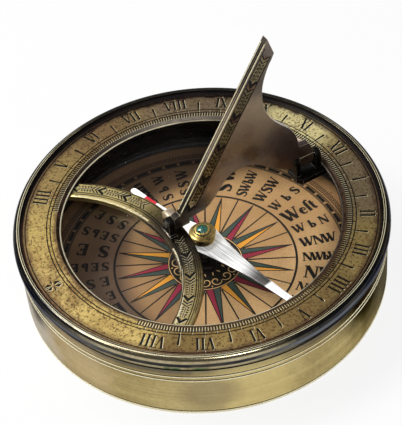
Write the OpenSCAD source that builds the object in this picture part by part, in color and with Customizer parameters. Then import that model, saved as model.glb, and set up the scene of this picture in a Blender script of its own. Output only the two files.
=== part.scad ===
// Sundial compass in antique brass: a round bowl with a printed compass card and
// a magnetic needle under glass, and above it a turning dial ring that carries a
// folding gnomon. Millimetres, +Z up, origin at the centre of the base, and +Y
// runs from the centre towards the noon mark XII.

/* [Case] */
// Widest diameter, across the rounded bead of the rim
rim_d = 108; // [98:1:120]
// How far the side of the case lies inside the widest line of the rim
side_step = 0.8; // [0.5:0.1:1.4]
// Height of the case from the base to the seam under the rim
case_h = 19.2; // [17:0.1:24]
// Thickness of the case wall
case_wall = 2; // [1.8:0.1:3]
// Thickness of the case floor
floor_t = 1.4; // [1.2:0.1:2.4]
// Width of each turned line on the side of the case
line_w = 0.35; // [0.2:0.05:0.6]
// Depth of each turned line
line_d = 0.2; // [0.1:0.05:0.25]
// Drop from the seam to the upper of the two turned lines
line_drop = 2.9; // [2.2:0.1:4]
// Spacing of the two upper turned lines
line_pitch = 1.6; // [1:0.1:2.4]
// Height of the lower turned line above the base
line_low = 1.4; // [1.1:0.1:2.5]
// Chamfer round the base of the case
base_chamfer = 0.7; // [0.3:0.1:1]

/* [Rim] */
// Height of the rim above the seam
rim_h = 5; // [4.8:0.1:6.5]
// Width of the rim outside the dial ring
rim_w = 3.05; // [2.8:0.05:3.6]
// Height of the crest of the rim above the face of the dial
rim_lip = 1.2; // [0.8:0.1:1.5]
// Width from the crest of the rim out to its widest line
bead_w = 1.3; // [0.9:0.1:1.6]
// Width of the ledge that carries the dial ring
ledge_w = 2.5; // [2.3:0.1:3]
// Wall of the spigot that plugs into the case
spigot_w = 0.8; // [0.7:0.05:1]
// Length of the spigot below the seam
spigot_l = 2.8; // [2.4:0.1:4]
// Thickness of the wire of the snap ring
snap_t = 0.5; // [0.4:0.05:0.7]

/* [Dial ring] */
// Thickness of the dial ring
ring_t = 1.8; // [1.6:0.1:2.2]
// Width of the dial ring
ring_w = 9.95; // [9:0.05:12]
// Bevel on the inner edge of the dial ring
ring_bevel = 0.8; // [0.4:0.1:1.2]

/* [Arched bridge] */
// Thickness of the bridge and of every foot screwed under the ring
bridge_t = 1.6; // [1.4:0.1:2]
// Distance from the centre to the noon side of the bridge
bridge_off = 5.9; // [5:0.1:7]
// Width of the bridge at its middle
bridge_w = 6.65; // [6.2:0.05:9]
// Radius of the noon side of the bridge
bridge_far_r = 41.5; // [38:0.5:46]
// Radius of the other side of the bridge
bridge_near_r = 37.8; // [35:0.2:40]
// How far the ends of the bridge reach under the dial ring
bridge_lap = 5.8; // [5:0.1:6.2]

/* [Gnomon] */
// Thickness of the gnomon along its style band
gnomon_t = 2.2; // [1.9:0.1:3]
// Depth by which the plain part of the plate lies below the style band
band_step = 0.15; // [0.1:0.05:0.3]
// Width of the raised style band
band_w = 4.8; // [3:0.1:6]
// Angle of the style above the dial
style_angle = 57.3; // [48:0.5:60]
// Length of the style from the toe to the tip
style_l = 58.2; // [50:0.1:64]
// Length of the slanted end at the tip
tip_l = 5.9; // [4:0.1:7]
// Angle by which the slanted end leans back from the vertical
tip_lean = 18; // [10:1:30]
// Height of the arched opening under the gnomon above the hinge line
arch_rise = 9.3; // [7:0.1:11]
// Height of the foot of the gnomon above the hinge line
foot_rise = 6.3; // [5:0.1:8]
// Length of the foot of the gnomon along the hinge line
foot_l = 4.8; // [4:0.1:6]
// Length of the toe knuckle along the hinge line
toe_l = 4.75; // [4:0.05:6]
// Height of the lower end of the style above the hinge line
toe_rise = 1.9; // [1.8:0.1:3]
// Depth of the square heel of the toe below the hinge line
heel = 2.6; // [2.2:0.1:3]

/* [Hinges] */
// Diameter of the hinge pins
pin_d = 1.2; // [0.9:0.1:1.4]
// Half width and top radius of the hinge lugs
lug_r = 1.8; // [1.6:0.1:2.2]
// Thickness of the toe lug on the bridge
toe_lug_t = 2; // [1.6:0.1:2.6]
// Distance from the lower edge of the bridge to the toe lug
toe_lug_in = 1.35; // [1:0.05:2]
// Distance from the inner edge of the ring to the outer ear at XII
ear_in = 0.8; // [0.6:0.1:1.4]
// Thickness of the outer ear at XII
ear_out_t = 1.8; // [1.2:0.1:2.2]
// Thickness of the inner ear at XII
ear_in_t = 1.5; // [1:0.1:2]
// Width of the foot of the XII bracket
tongue_w = 7.6; // [6.4:0.1:10]
// Width of the stop tab beside the toe
tab_w = 5.7; // [4:0.1:7]
// Length of the stop tab along the hinge line
tab_l = 3.2; // [2.6:0.1:3.4]
// Chamfer on the top edges of the stop tab
tab_chamfer = 0.5; // [0.2:0.1:0.7]
// Diameter of the heads of the small countersunk screws
screw_head_d = 2; // [1.6:0.1:2.2]
// Diameter of the shanks of the small screws
screw_d = 1; // [0.8:0.1:1.2]
// Depth to which the small screws bite into the dial ring
screw_bite = 1.1; // [0.8:0.1:1.2]

/* [Card and glass] */
// Thickness of the plate under the card
plate_t = 0.9; // [0.6:0.1:1.4]
// Thickness of the printed card
card_t = 0.4; // [0.3:0.05:0.6]
// Thickness of the glass
glass_t = 1.1; // [0.9:0.1:1.6]
// Width of the step that carries the glass
glass_seat = 0.6; // [0.45:0.05:0.9]
// Wall of the lip round the edge of the glass
lip_w = 0.85; // [0.7:0.05:1.1]
// Thickness of the split ring that holds the glass
keeper_t = 0.5; // [0.4:0.05:0.8]
// Width of the split ring that holds the glass
keeper_w = 1.25; // [0.9:0.05:1.6]

/* [Needle] */
// Length of the pointed arm of the needle from the pivot
needle_point_l = 37.5; // [30:0.5:42]
// Length of the tail of the needle from the pivot
needle_tail_l = 30.5; // [24:0.5:36]
// Length of the blunt nose beyond the end of the taper
needle_nose_l = 2.5; // [1.5:0.1:4]
// Width of the needle at the end of its nose
needle_nose_w = 0.24; // [0.1:0.02:0.5]
// Width of the needle at the pivot
needle_w = 10.4; // [9:0.2:13]
// Width of the pointed arm where its taper ends
needle_tip_w = 2.2; // [1.4:0.1:3]
// Width of the tail at its round end
needle_tail_w = 2; // [1.4:0.1:3]
// Hollowness of the sides of the pointed arm, 1 for straight sides
point_bow = 2.2; // [1:0.1:4]
// Hollowness of the sides of the tail, 1 for straight sides
tail_bow = 3.5; // [1:0.1:5]
// Thickness of the needle
needle_t = 0.5; // [0.4:0.05:0.8]
// Radius of the turned cap on the needle
cap_r = 4; // [3.4:0.1:4.4]
// Height of the cap above the needle, without its stone
cap_h = 4; // [3.6:0.1:4.6]
// Radius of the green stone in the cap
stone_r = 1.8; // [1.2:0.1:2.2]
// Height by which the stone stands out of the cap
stone_h = 0.5; // [0.3:0.1:0.6]
// Radius of the pivot post
post_r = 0.8; // [0.6:0.05:1]
// Radius of the boss at the centre of the card
boss_r = 3.4; // [2.6:0.1:4.5]
// Height of the boss above the card
boss_h = 2; // [1.4:0.1:3]
// Bearing the needle points to, counted from +X towards the noon mark
needle_turn = 13.7; // [0:0.1:359]

/* [Clearances] */
// Radial clearance of everything that turns in a hole
run_gap = 0.05; // [0.03:0.01:0.08]
// Clearance of the toe of the gnomon from its lug
toe_gap = 0.25; // [0.25:0.05:0.4]
// Distance kept between pieces that move past each other
move_gap = 0.3; // [0.25:0.05:0.4]
// Clearance of a piece pressed or slipped into its seat
seat_gap = 0.02; // [0.01:0.01:0.05]
// Height of the open seam between the rim and the case
seam_gap = 0.1; // [0.05:0.05:0.3]

/* [Hidden] */
$fn = 96;
// Heights, from the base up to the seam and from the crest down to the glass
case_r = rim_d / 2 - side_step;
bore_r = case_r - case_wall;
card_z = floor_t + plate_t + card_t;
seam_z = case_h + seam_gap;
crest_z = seam_z + rim_h;
face_z = crest_z - rim_lip;
under_z = face_z - ring_t;
foot_z = under_z - bridge_t;
lip_z = foot_z - move_gap - 0.1;
glass_top = lip_z - keeper_t;
seat_z = glass_top - glass_t;
// Radii, from the widest line inwards
rim_r = rim_d / 2;
ring_out = rim_r - rim_w;
ring_in = ring_out - ring_w;
ledge_r = ring_out - ledge_w;
bridge_end = ring_in + bridge_lap;
liner_r = bore_r - run_gap;
liner_in = liner_r - lip_w - glass_seat;
glass_r = liner_r - lip_w - run_gap;
spigot_in = liner_r + move_gap;
spigot_out = spigot_in + spigot_w;
sink_r = spigot_out + run_gap;
sink_z = seam_z - spigot_l - move_gap;
snap_z = seam_z - spigot_l / 2;
snap_in = spigot_out - snap_t * 0.6;
snap_out = snap_in + snap_t * 1.3;
// Hinge line of the gnomon: the folded plate passes over the crest of the rim
axis_z = crest_z + move_gap + gnomon_t / 2;
pin_r = pin_d / 2;
// Stations along the hinge line, from the toe lug to the outer ear
toe_lug_y = -(bridge_off + bridge_w - toe_lug_in);
toe_y0 = toe_lug_y + toe_lug_t + toe_gap;
toe_y1 = toe_y0 + toe_l;
tab_y0 = toe_lug_y + toe_lug_t + 0.3;
ear_out1 = ring_in - ear_in;
ear_out0 = ear_out1 - ear_out_t;
foot_y1 = ear_out0 - move_gap;
foot_y0 = foot_y1 - foot_l;
ear_in1 = foot_y0 - move_gap;
ear_in0 = ear_in1 - ear_in_t;
notch_y = ear_in0 - move_gap;
// Centres of the two circles that bound the bridge
far_c = bridge_off + bridge_far_r;
low_c = bridge_off + bridge_w + bridge_near_r;
// Needle, hung from the glass down
blade_top = seat_z - move_gap - 0.1 - stone_h - cap_h;
blade_z = blade_top - needle_t;
hang_z = blade_top + cap_h - 1.25;
shank_r = cap_r * 0.55;

// Points of a cubic curve from a to d
function curve(a, b, c, d, n = 10) =
    [for (i = [0 : n]) let (t = i / n, s = 1 - t)
        s * s * s * a + 3 * s * s * t * b + 3 * s * t * t * c + t * t * t * d];

// Angle at which a circle of radius r about [0, -c] crosses the circle of radius q
function crossing(c, r, q) = asin((r * r - c * c - q * q) / (2 * c * q));

// Half width of an arm of the needle that narrows from w0 to w1 over the length l
function arm(w0, w1, l, p, x) = w1 / 2 + (w0 - w1) / 2 * pow(1 - x / l, p);

// A small countersunk screw that points up, with its head flush at z = 0
module small_screw(gap = 0) {
    head_r = screw_head_d / 2 + gap;
    shank = screw_d / 2 + gap;
    translate([0, 0, -gap])
        cylinder(h = head_r - shank + gap, r1 = head_r, r2 = shank, $fn = 32);
    cylinder(h = bridge_t + screw_bite + gap, r = shank, $fn = 32);
}

// The places of the ten small screws under the dial
module at_screws(set = "all") {
    screw_ring = ring_in + bridge_lap * 0.5;
    a0 = crossing(far_c, bridge_far_r, screw_ring);
    a1 = crossing(low_c, bridge_near_r, screw_ring);
    if (set == "all" || set == "bridge")
        for (side = [0, 1], k = [0.27, 0.73]) {
            a = a0 + (a1 - a0) * k;
            rotate([0, 0, side == 0 ? a : 180 - a])
                translate([screw_ring, 0, foot_z]) children();
        }
    if (set == "all" || set == "bracket")
        for (side = [-1, 1])
            translate([side * tongue_w * 0.28, screw_ring, foot_z]) children();
    if (set == "all" || set == "rim")
        for (k = [0 : 3])
            rotate([0, 0, 90 * k + 20])
                translate([ring_out - ledge_w / 2, 0, foot_z]) children();
}

// A square turned line round the case at height z
module turned_line(z) {
    translate([case_r - line_d, z - line_w / 2]) square([line_d + 1, line_w]);
}

// Bowl-shaped case, turned in one piece
module case_shell() {
    color([0.66, 0.58, 0.38])
    difference() {
        rotate_extrude($fn = 180)
            difference() {
                polygon([
                    [0, 0],
                    [case_r - base_chamfer, 0],
                    [case_r - base_chamfer * 0.3, base_chamfer * 0.35],
                    [case_r, base_chamfer],
                    [case_r, case_h - 0.2],
                    [case_r - 0.2, case_h],
                    [sink_r, case_h],
                    [sink_r, sink_z],
                    [bore_r, sink_z],
                    [bore_r, floor_t],
                    [0, floor_t]
                ]);
                turned_line(seam_z - line_drop);
                turned_line(seam_z - line_drop - line_pitch);
                turned_line(line_low);
                translate([sink_r - 0.1, snap_z - snap_t / 2 - 0.1])
                    square([snap_out - sink_r + 0.2, snap_t + 0.2]);
            }
        translate([0, 0, floor_t / 2]) cylinder(h = floor_t, r = post_r + seat_gap);
    }
}

// Brass plate that backs the card
module card_plate() {
    color([0.55, 0.45, 0.28])
    translate([0, 0, floor_t])
        difference() {
            cylinder(h = plate_t, r = bore_r - run_gap, $fn = 180);
            translate([0, 0, -1]) cylinder(h = plate_t + 2, r = post_r + seat_gap);
        }
}

// Printed compass card
module compass_card() {
    color([0.78, 0.6, 0.38])
    translate([0, 0, floor_t + plate_t])
        difference() {
            cylinder(h = card_t, r = bore_r - run_gap, $fn = 180);
            translate([0, 0, -1]) cylinder(h = card_t + 2, r = post_r + seat_gap);
        }
}

// Blackened liner that holds the card down and carries the glass
module bowl_liner() {
    color([0.09, 0.09, 0.09])
    rotate_extrude($fn = 180)
        polygon([
            [liner_in - 0.35, card_z],
            [liner_r, card_z],
            [liner_r, lip_z],
            [liner_r - lip_w, lip_z],
            [liner_r - lip_w, seat_z],
            [liner_in, seat_z],
            [liner_in, card_z + 1.2],
            [liner_in - 0.35, card_z + 0.7]
        ]);
}

// Small turned boss round the foot of the pivot
module card_boss() {
    color([0.2, 0.15, 0.1])
    translate([0, 0, card_z])
        difference() {
            rotate_extrude()
                polygon([
                    [0, 0],
                    [boss_r, 0],
                    [boss_r, boss_h * 0.25],
                    [boss_r * 0.85, boss_h * 0.4],
                    [boss_r * 0.55, boss_h * 0.5],
                    [boss_r * 0.5, boss_h * 0.9],
                    [boss_r * 0.42, boss_h],
                    [0, boss_h]
                ]);
            translate([0, 0, -1]) cylinder(h = boss_h + 2, r = post_r + seat_gap);
        }
}

// Steel pivot post with its fine point inside the cap of the needle
module pivot_post() {
    color([0.7, 0.7, 0.72])
    rotate_extrude()
        polygon([
            [0, floor_t / 2],
            [post_r, floor_t / 2],
            [post_r, blade_z - 1.3],
            [0.06, hang_z - 0.1],
            [0, hang_z - 0.1]
        ]);
}

// Clear glass over the compass
module glass() {
    color([0.8, 0.88, 0.88, 0.3])
    translate([0, 0, seat_z]) cylinder(h = glass_t, r = glass_r, $fn = 180);
}

// Split spring ring that keeps the glass down
module glass_keeper() {
    color([0.15, 0.13, 0.1])
    difference() {
        rotate_extrude($fn = 180)
            translate([glass_r - keeper_w, glass_top]) square([keeper_w, keeper_t]);
        rotate([0, 0, 200])
            translate([glass_r - keeper_w - 1, -1, glass_top - 1])
                cube([keeper_w + 2, 2, keeper_t + 2]);
    }
}

// Rounded rim with the spigot that turns in the case and the ledge for the ring
module rim_bezel() {
    mid_z = (seam_z + crest_z) / 2;
    half_h = rim_h / 2;
    crest_r = rim_r - bead_w;
    cove_w = crest_r - ring_out - 0.1;
    color([0.45, 0.36, 0.2])
    difference() {
        rotate_extrude($fn = 180)
            difference() {
                polygon(concat(
                    [[ledge_r, foot_z], [spigot_in, foot_z]],
                    [[spigot_in, seam_z - spigot_l], [spigot_out, seam_z - spigot_l]],
                    [[spigot_out, seam_z], [rim_r - bead_w * 0.72, seam_z]],
                    [for (a = [-70 : 10 : 90])
                        [crest_r + bead_w * cos(a), mid_z + half_h * sin(a)]],
                    [for (a = [90 : -15 : 0])
                        [ring_out + seat_gap + 0.1 + (cove_w - 0.1) * sin(a),
                         crest_z - rim_lip * cos(a)]],
                    [[ring_out + seat_gap, face_z], [ring_out + seat_gap, under_z]],
                    [[ledge_r, under_z]]
                ));
                translate([snap_in - 0.05, snap_z - snap_t / 2 - 0.05])
                    square([spigot_out - snap_in + 0.1, snap_t + 0.1]);
            }
        at_screws("rim") small_screw(seat_gap);
    }
}

// Split wire ring that sits in the spigot and holds the dial on the case
module snap_ring() {
    color([0.6, 0.6, 0.6])
    difference() {
        rotate_extrude($fn = 180)
            translate([snap_in, snap_z - snap_t / 2])
                square([snap_out - snap_in, snap_t]);
        rotate([0, 0, 250])
            translate([snap_in - 1, -1.5, snap_z - 2]) cube([3, 3, 4]);
    }
}

// Flat dial ring for the hour numerals
module hour_ring() {
    color([0.68, 0.58, 0.34])
    difference() {
        rotate_extrude($fn = 180)
            polygon([
                [ring_in, under_z],
                [ring_out, under_z],
                [ring_out, face_z],
                [ring_in + ring_bevel, face_z],
                [ring_in, face_z - ring_bevel * 0.8]
            ]);
        at_screws() small_screw(seat_gap);
    }
}

// Outline of the crescent-shaped bridge, seen from above
module bridge_outline() {
    intersection() {
        difference() {
            translate([0, -far_c]) circle(r = bridge_far_r, $fn = 180);
            translate([0, -low_c]) circle(r = bridge_near_r, $fn = 180);
        }
        circle(r = bridge_end, $fn = 180);
    }
}

// Arched bridge that crosses the dial below the centre
module arch_bridge() {
    color([0.58, 0.5, 0.3])
    difference() {
        translate([0, 0, foot_z])
            linear_extrude(height = bridge_t) bridge_outline();
        at_screws("bridge") small_screw(seat_gap);
        translate([0, toe_lug_y + toe_lug_t / 2, foot_z - 1])
            cylinder(h = bridge_t + 2, r = toe_lug_t * 0.4 + seat_gap, $fn = 32);
        translate([-(gnomon_t / 2 + tab_w * 0.6), tab_y0 + tab_l * 0.4, foot_z - 1])
            cylinder(h = bridge_t + 2, r = 0.8 + seat_gap, $fn = 32);
    }
}

// Lug on the bridge that holds the toe pin
module toe_lug() {
    color([0.24, 0.2, 0.13])
    difference() {
        union() {
            translate([0, toe_lug_y + toe_lug_t, axis_z]) rotate([90, 0, 0])
                cylinder(h = toe_lug_t, r = lug_r, $fn = 48);
            translate([-lug_r, toe_lug_y, under_z])
                cube([2 * lug_r, toe_lug_t, axis_z - under_z]);
            translate([-lug_r - 0.9, toe_lug_y - 0.3, under_z])
                cube([2 * lug_r + 1.8, toe_lug_t + 0.3, 1]);
            translate([0, toe_lug_y + toe_lug_t / 2, foot_z])
                cylinder(h = bridge_t + 0.5, r = toe_lug_t * 0.4, $fn = 32);
        }
        translate([0, toe_lug_y + toe_lug_t + 1, axis_z]) rotate([90, 0, 0])
            cylinder(h = toe_lug_t + 2, r = pin_r + seat_gap, $fn = 32);
    }
}

// Pin that carries the toe of the gnomon
module toe_pin() {
    pin_end = toe_y0 + toe_l * 0.75;
    color([0.5, 0.45, 0.4])
    translate([0, pin_end, axis_z]) rotate([90, 0, 0]) {
        cylinder(h = pin_end - toe_lug_y + 0.35, r = pin_r, $fn = 32);
        translate([0, 0, pin_end - toe_lug_y])
            cylinder(h = 0.35, r = pin_r + 0.35, $fn = 32);
    }
}

// Chamfered stop against which the heel of the upright gnomon rests
module stop_tab() {
    tab_z = axis_z - gnomon_t / 2 - move_gap - 0.2;
    tab_x = -gnomon_t / 2 - run_gap;
    c = tab_chamfer;
    color([0.6, 0.52, 0.34])
    union() {
        intersection() {
            translate([tab_x - tab_w, tab_y0 + tab_l, 0]) rotate([90, 0, 0])
                linear_extrude(height = tab_l)
                    polygon([
                        [0, under_z],
                        [tab_w, under_z],
                        [tab_w, tab_z],
                        [c, tab_z],
                        [0, tab_z - c]
                    ]);
            translate([tab_x - tab_w, tab_y0, 0]) rotate([90, 0, 90])
                linear_extrude(height = tab_w)
                    polygon([
                        [0, under_z],
                        [tab_l, under_z],
                        [tab_l, tab_z - c],
                        [tab_l - c, tab_z],
                        [c, tab_z],
                        [0, tab_z - c]
                    ]);
        }
        translate([-(gnomon_t / 2 + tab_w * 0.6), tab_y0 + tab_l * 0.4, foot_z])
            cylinder(h = bridge_t + 0.3, r = 0.8, $fn = 32);
    }
}

// Bracket under the ring at XII with the two ears of the upper hinge
module xii_bracket() {
    tongue_end = ring_in + bridge_lap;
    color([0.2, 0.17, 0.12])
    difference() {
        union() {
            translate([-tongue_w / 2, ear_in0 - 0.3, foot_z])
                cube([tongue_w, tongue_end - ear_in0 + 0.3, bridge_t]);
            for (ear = [[ear_in0, ear_in_t], [ear_out0, ear_out_t]]) {
                translate([0, ear[0] + ear[1], axis_z]) rotate([90, 0, 0])
                    cylinder(h = ear[1], r = lug_r, $fn = 48);
                translate([-lug_r, ear[0], foot_z])
                    cube([2 * lug_r, ear[1], axis_z - foot_z]);
            }
        }
        for (side = [0, 1]) mirror([side, 0, 0])
            translate([tongue_w / 2, ear_in0 - 0.3, foot_z - 1]) rotate([0, 0, 45])
                cube([2, 2, 2 * (bridge_t + 2)], center = true);
        translate([0, ear_out1 + 1, axis_z]) rotate([90, 0, 0])
            cylinder(h = ear_out1 - ear_in0 + 2, r = pin_r + seat_gap, $fn = 32);
        at_screws("bracket") small_screw(seat_gap);
    }
}

// Pin through the ears and the foot of the gnomon at XII
module xii_pin() {
    color([0.5, 0.45, 0.4])
    translate([0, ear_out1 + 0.1, axis_z]) rotate([90, 0, 0])
        cylinder(h = ear_out1 - ear_in0 + 0.3, r = pin_r, $fn = 32);
}

// The small screws that hold the ring, the bridge and the bracket together
module ring_screws() {
    color([0.55, 0.48, 0.32])
    at_screws() small_screw();
}

// Outline of the gnomon in the noon plane, as [distance towards XII, height]
function gnomon_outline() =
    let (
        low = [toe_y0 + 1.95, axis_z + toe_rise],
        tip = low + style_l * [cos(style_angle), sin(style_angle)],
        heel_tip = tip + tip_l * [sin(tip_lean), -cos(tip_lean)],
        waist = [foot_y0 - 11.4, tip[1] - style_l * 0.33],
        lap = [foot_y0 - 4.5, axis_z + 16.9],
        shoulder = [foot_y0 - 0.2, axis_z + foot_rise + 1],
        crown = [(toe_y1 + notch_y) / 2 - 0.3, axis_z + arch_rise],
        left = [toe_y1 + 4, axis_z - 0.5],
        right = [notch_y - 2, axis_z - 0.5]
    )
    concat(
        [low, tip],
        curve(heel_tip, heel_tip + [-2.2, -4.5], waist + [0, 5.5], waist, 8),
        curve(waist, waist + [0, -7], lap + [-3.3, 3.4], lap, 8),
        curve(lap, lap + [2.6, -2.6], shoulder + [-0.2, 4], shoulder, 6),
        [
            [foot_y0, axis_z + foot_rise],
            [foot_y1 - 1.4, axis_z + foot_rise - 0.2],
            [foot_y1, axis_z + foot_rise * 0.45]
        ],
        [for (a = [0 : -15 : -90])
            [foot_y1 - 1.2 + 1.2 * cos(a), axis_z - 0.5 + 1.2 * sin(a)]],
        [
            [foot_y0, axis_z - 1.7],
            [foot_y0, axis_z + lug_r + move_gap],
            [notch_y, axis_z + lug_r + move_gap],
            [notch_y, axis_z - 0.5]
        ],
        curve(right, right + [-4.8, 2.4], crown + [6.5, 0], crown, 8),
        curve(crown, crown - [6.5, 0], left + [5, 0], left, 8),
        [
            [toe_y1, axis_z - 0.6],
            [toe_y1, axis_z - heel],
            [toe_y0, axis_z - heel],
            [toe_y0, axis_z + toe_rise - 0.6],
            [toe_y0 + 0.8, axis_z + toe_rise]
        ]
    );

// Extrudes a shape drawn in the noon plane to the thickness t about that plane
module noon_plate(t) {
    translate([-t / 2, 0, 0]) rotate([90, 0, 90]) linear_extrude(height = t) children();
}

// Folding gnomon: a plain plate with a raised band along the style
module gnomon_plate() {
    low = [toe_y0 + 1.95, axis_z + toe_rise];
    along = [cos(style_angle), sin(style_angle)];
    across = [sin(style_angle), -cos(style_angle)];
    color([0.42, 0.36, 0.25])
    difference() {
        union() {
            noon_plate(gnomon_t - 2 * band_step) polygon(gnomon_outline());
            noon_plate(gnomon_t) intersection() {
                polygon(gnomon_outline());
                polygon([
                    low - 10 * along - 0.5 * across,
                    low + (style_l + 10) * along - 0.5 * across,
                    low + (style_l + 10) * along + band_w * across,
                    low - 10 * along + band_w * across
                ]);
            }
            noon_plate(gnomon_t) intersection() {
                polygon(gnomon_outline());
                union() {
                    translate([toe_y0 - 1, axis_z - heel - 1])
                        square([toe_l + 1, heel + 1 + toe_rise]);
                    translate([foot_y0, axis_z - 3])
                        square([foot_l + 1, 3 + pin_r + 1.1]);
                }
            }
        }
        translate([0, foot_y1 + 1, axis_z]) rotate([90, 0, 0])
            cylinder(h = foot_l + 2, r = pin_r + run_gap, $fn = 32);
        translate([0, toe_y0 + toe_l * 0.75 + 0.3, axis_z]) rotate([90, 0, 0])
            cylinder(h = toe_l, r = pin_r + run_gap, $fn = 32);
    }
}

// Outline of the needle, pointed towards +X and round at its tail
module needle_outline() {
    steps = 12;
    crowd = 1.45; // Draws the points together where the sides bend most
    taper = needle_point_l - needle_nose_l;
    round_r = needle_tail_w / 2;
    tail = needle_tail_l - round_r;
    upper = concat(
        [[needle_point_l, needle_nose_w / 2]],
        [for (i = [steps : -1 : 0]) let (x = taper * pow(i / steps, crowd))
            [x, arm(needle_w, needle_tip_w, taper, point_bow, x)]],
        [for (i = [1 : steps]) let (x = tail * pow(i / steps, crowd))
            [-x, arm(needle_w, needle_tail_w, tail, tail_bow, x)]],
        [for (a = [105 : 15 : 180])
            [-tail + round_r * cos(a), round_r * sin(a)]]
    );
    polygon(concat(upper,
        [for (i = [len(upper) - 2 : -1 : 0]) [upper[i][0], -upper[i][1]]]));
}

// Flat steel needle with a hole for its cap
module needle_blade() {
    color([0.86, 0.86, 0.84])
    rotate([0, 0, needle_turn])
    translate([0, 0, blade_z])
        difference() {
            linear_extrude(height = needle_t) needle_outline();
            translate([0, 0, -1]) cylinder(h = needle_t + 2, r = shank_r + seat_gap);
        }
}

// Turned brass cap riveted through the needle, hollow for the pivot point
module needle_cap() {
    color([0.72, 0.6, 0.3])
    rotate_extrude()
        polygon([
            [post_r + 0.8, blade_z - 0.5],
            [shank_r + 0.45, blade_z - 0.5],
            [shank_r + 0.45, blade_z],
            [shank_r, blade_z],
            [shank_r, blade_top],
            [cap_r, blade_top],
            [cap_r, blade_top + cap_h * 0.2],
            [cap_r * 0.94, blade_top + cap_h * 0.26],
            [cap_r * 0.74, blade_top + cap_h * 0.3],
            [cap_r * 0.72, blade_top + cap_h * 0.42],
            [cap_r * 0.88, blade_top + cap_h * 0.5],
            [cap_r * 0.98, blade_top + cap_h * 0.62],
            [cap_r * 0.98, blade_top + cap_h * 0.82],
            [cap_r * 0.84, blade_top + cap_h * 0.94],
            [stone_r + 0.35, blade_top + cap_h],
            [stone_r + seat_gap, blade_top + cap_h],
            [stone_r + seat_gap, hang_z + 0.75],
            [0, hang_z + 0.75],
            [0, hang_z],
            [0.16, hang_z]
        ]);
}

// Green stone set in the top of the cap
module cap_stone() {
    color([0.1, 0.45, 0.35])
    rotate_extrude()
        polygon([
            [0, hang_z + 0.75],
            [stone_r, hang_z + 0.75],
            [stone_r, blade_top + cap_h],
            [stone_r * 0.8, blade_top + cap_h + stone_h * 0.6],
            [stone_r * 0.45, blade_top + cap_h + stone_h * 0.93],
            [0, blade_top + cap_h + stone_h]
        ]);
}

case_shell();
card_plate();
compass_card();
bowl_liner();
card_boss();
pivot_post();
glass();
glass_keeper();
rim_bezel();
snap_ring();
hour_ring();
arch_bridge();
toe_lug();
toe_pin();
stop_tab();
xii_bracket();
xii_pin();
ring_screws();
gnomon_plate();
needle_blade();
needle_cap();
cap_stone();
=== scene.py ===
"""Looks of the sundial compass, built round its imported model.

Lengths in the lists below are millimetres and are scaled to metres as each piece is made.
+Y runs to the noon mark XII, +Z is up, and the base of the case stands on z = 0.
"""

import random
from math import acos, asin, atan2, cos, degrees, hypot, pi, radians, sin, sqrt

import bpy
from mathutils import Matrix, Vector


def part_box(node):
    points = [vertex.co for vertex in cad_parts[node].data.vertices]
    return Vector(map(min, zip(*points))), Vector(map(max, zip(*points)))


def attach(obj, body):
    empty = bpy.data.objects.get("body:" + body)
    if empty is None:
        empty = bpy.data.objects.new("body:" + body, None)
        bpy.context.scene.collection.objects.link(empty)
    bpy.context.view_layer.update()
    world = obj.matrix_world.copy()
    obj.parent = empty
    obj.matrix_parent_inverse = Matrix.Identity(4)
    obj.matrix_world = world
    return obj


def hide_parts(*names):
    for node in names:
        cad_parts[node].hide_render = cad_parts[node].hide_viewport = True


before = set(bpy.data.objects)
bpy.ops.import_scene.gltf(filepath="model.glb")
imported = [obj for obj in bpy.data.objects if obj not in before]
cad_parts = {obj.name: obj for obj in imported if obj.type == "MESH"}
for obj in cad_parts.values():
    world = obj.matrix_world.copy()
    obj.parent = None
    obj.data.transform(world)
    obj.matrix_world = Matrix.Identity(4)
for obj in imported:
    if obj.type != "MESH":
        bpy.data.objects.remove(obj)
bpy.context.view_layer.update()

MM = 0.001

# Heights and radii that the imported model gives, in mm
UNDER_Z, FACE_Z = (corner.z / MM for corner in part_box("hour_ring"))
BLADE_Z, BLADE_TOP = (corner.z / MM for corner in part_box("needle_blade"))
STONE_Z, STONE_TOP = (corner.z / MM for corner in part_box("cap_stone"))
CAP_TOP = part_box("needle_cap")[1].z / MM
FOOT_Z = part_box("arch_bridge")[0].z / MM
CARD_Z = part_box("compass_card")[1].z / MM
GLASS_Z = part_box("glass")[1].z / MM
RING_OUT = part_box("hour_ring")[1].x / MM
BAND_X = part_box("gnomon_plate")[1].x / MM
RIM_R, _, CREST_Z = (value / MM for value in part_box("rim_bezel")[1])
CASE_R, _, CASE_H = (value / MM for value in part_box("case_shell")[1])

RING_IN = 40.2  # opening of the dial
BEAD_W = 1.3  # from the widest line of the rim in to its crest
SEAM = 0.1  # gap between the case and the rim
BORE_R, BORE_Z = 52.3, 16.2  # where the rim plugs into the case
BOWL_R, FLOOR_Z = 51.2, 1.4  # inside of the bowl
LEDGE_R = 48.45  # inner edge of the ledge under the dial
PLUG_IN, PLUG_OUT, PLUG_Z = 51.45, 52.25, 16.5
CASE_LINES = (1.4, 14.8, 16.4)  # heights of the turned lines
HOUR = 17.1  # degrees from one hour to the next
NORTH = 3.0  # direction of the card's North point
NEEDLE_TURN = 13.7  # direction of the needle
STYLE_ANGLE = radians(57.3)
STYLE_LOW = (-7.0, 27.6)  # (y, z) of the foot of the style
CLEAR = 0.4  # how far a cutter stands out of the metal
# Two sides of the object. A dot product with them gives mm from a place in metres.
RIGHT_SIDE, FAR_SIDE = (454.0, 891.0, 0.0), (-891.0, 454.0, 0.0)


# ---- workbench

def pick(obj):
    """Makes one object the selected and active one."""
    bpy.ops.object.select_all(action="DESELECT")
    obj.select_set(True)
    bpy.context.view_layer.objects.active = obj
    return obj


def linked(name, data):
    obj = bpy.data.objects.new(name, data)
    bpy.context.scene.collection.objects.link(obj)
    return obj


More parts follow.
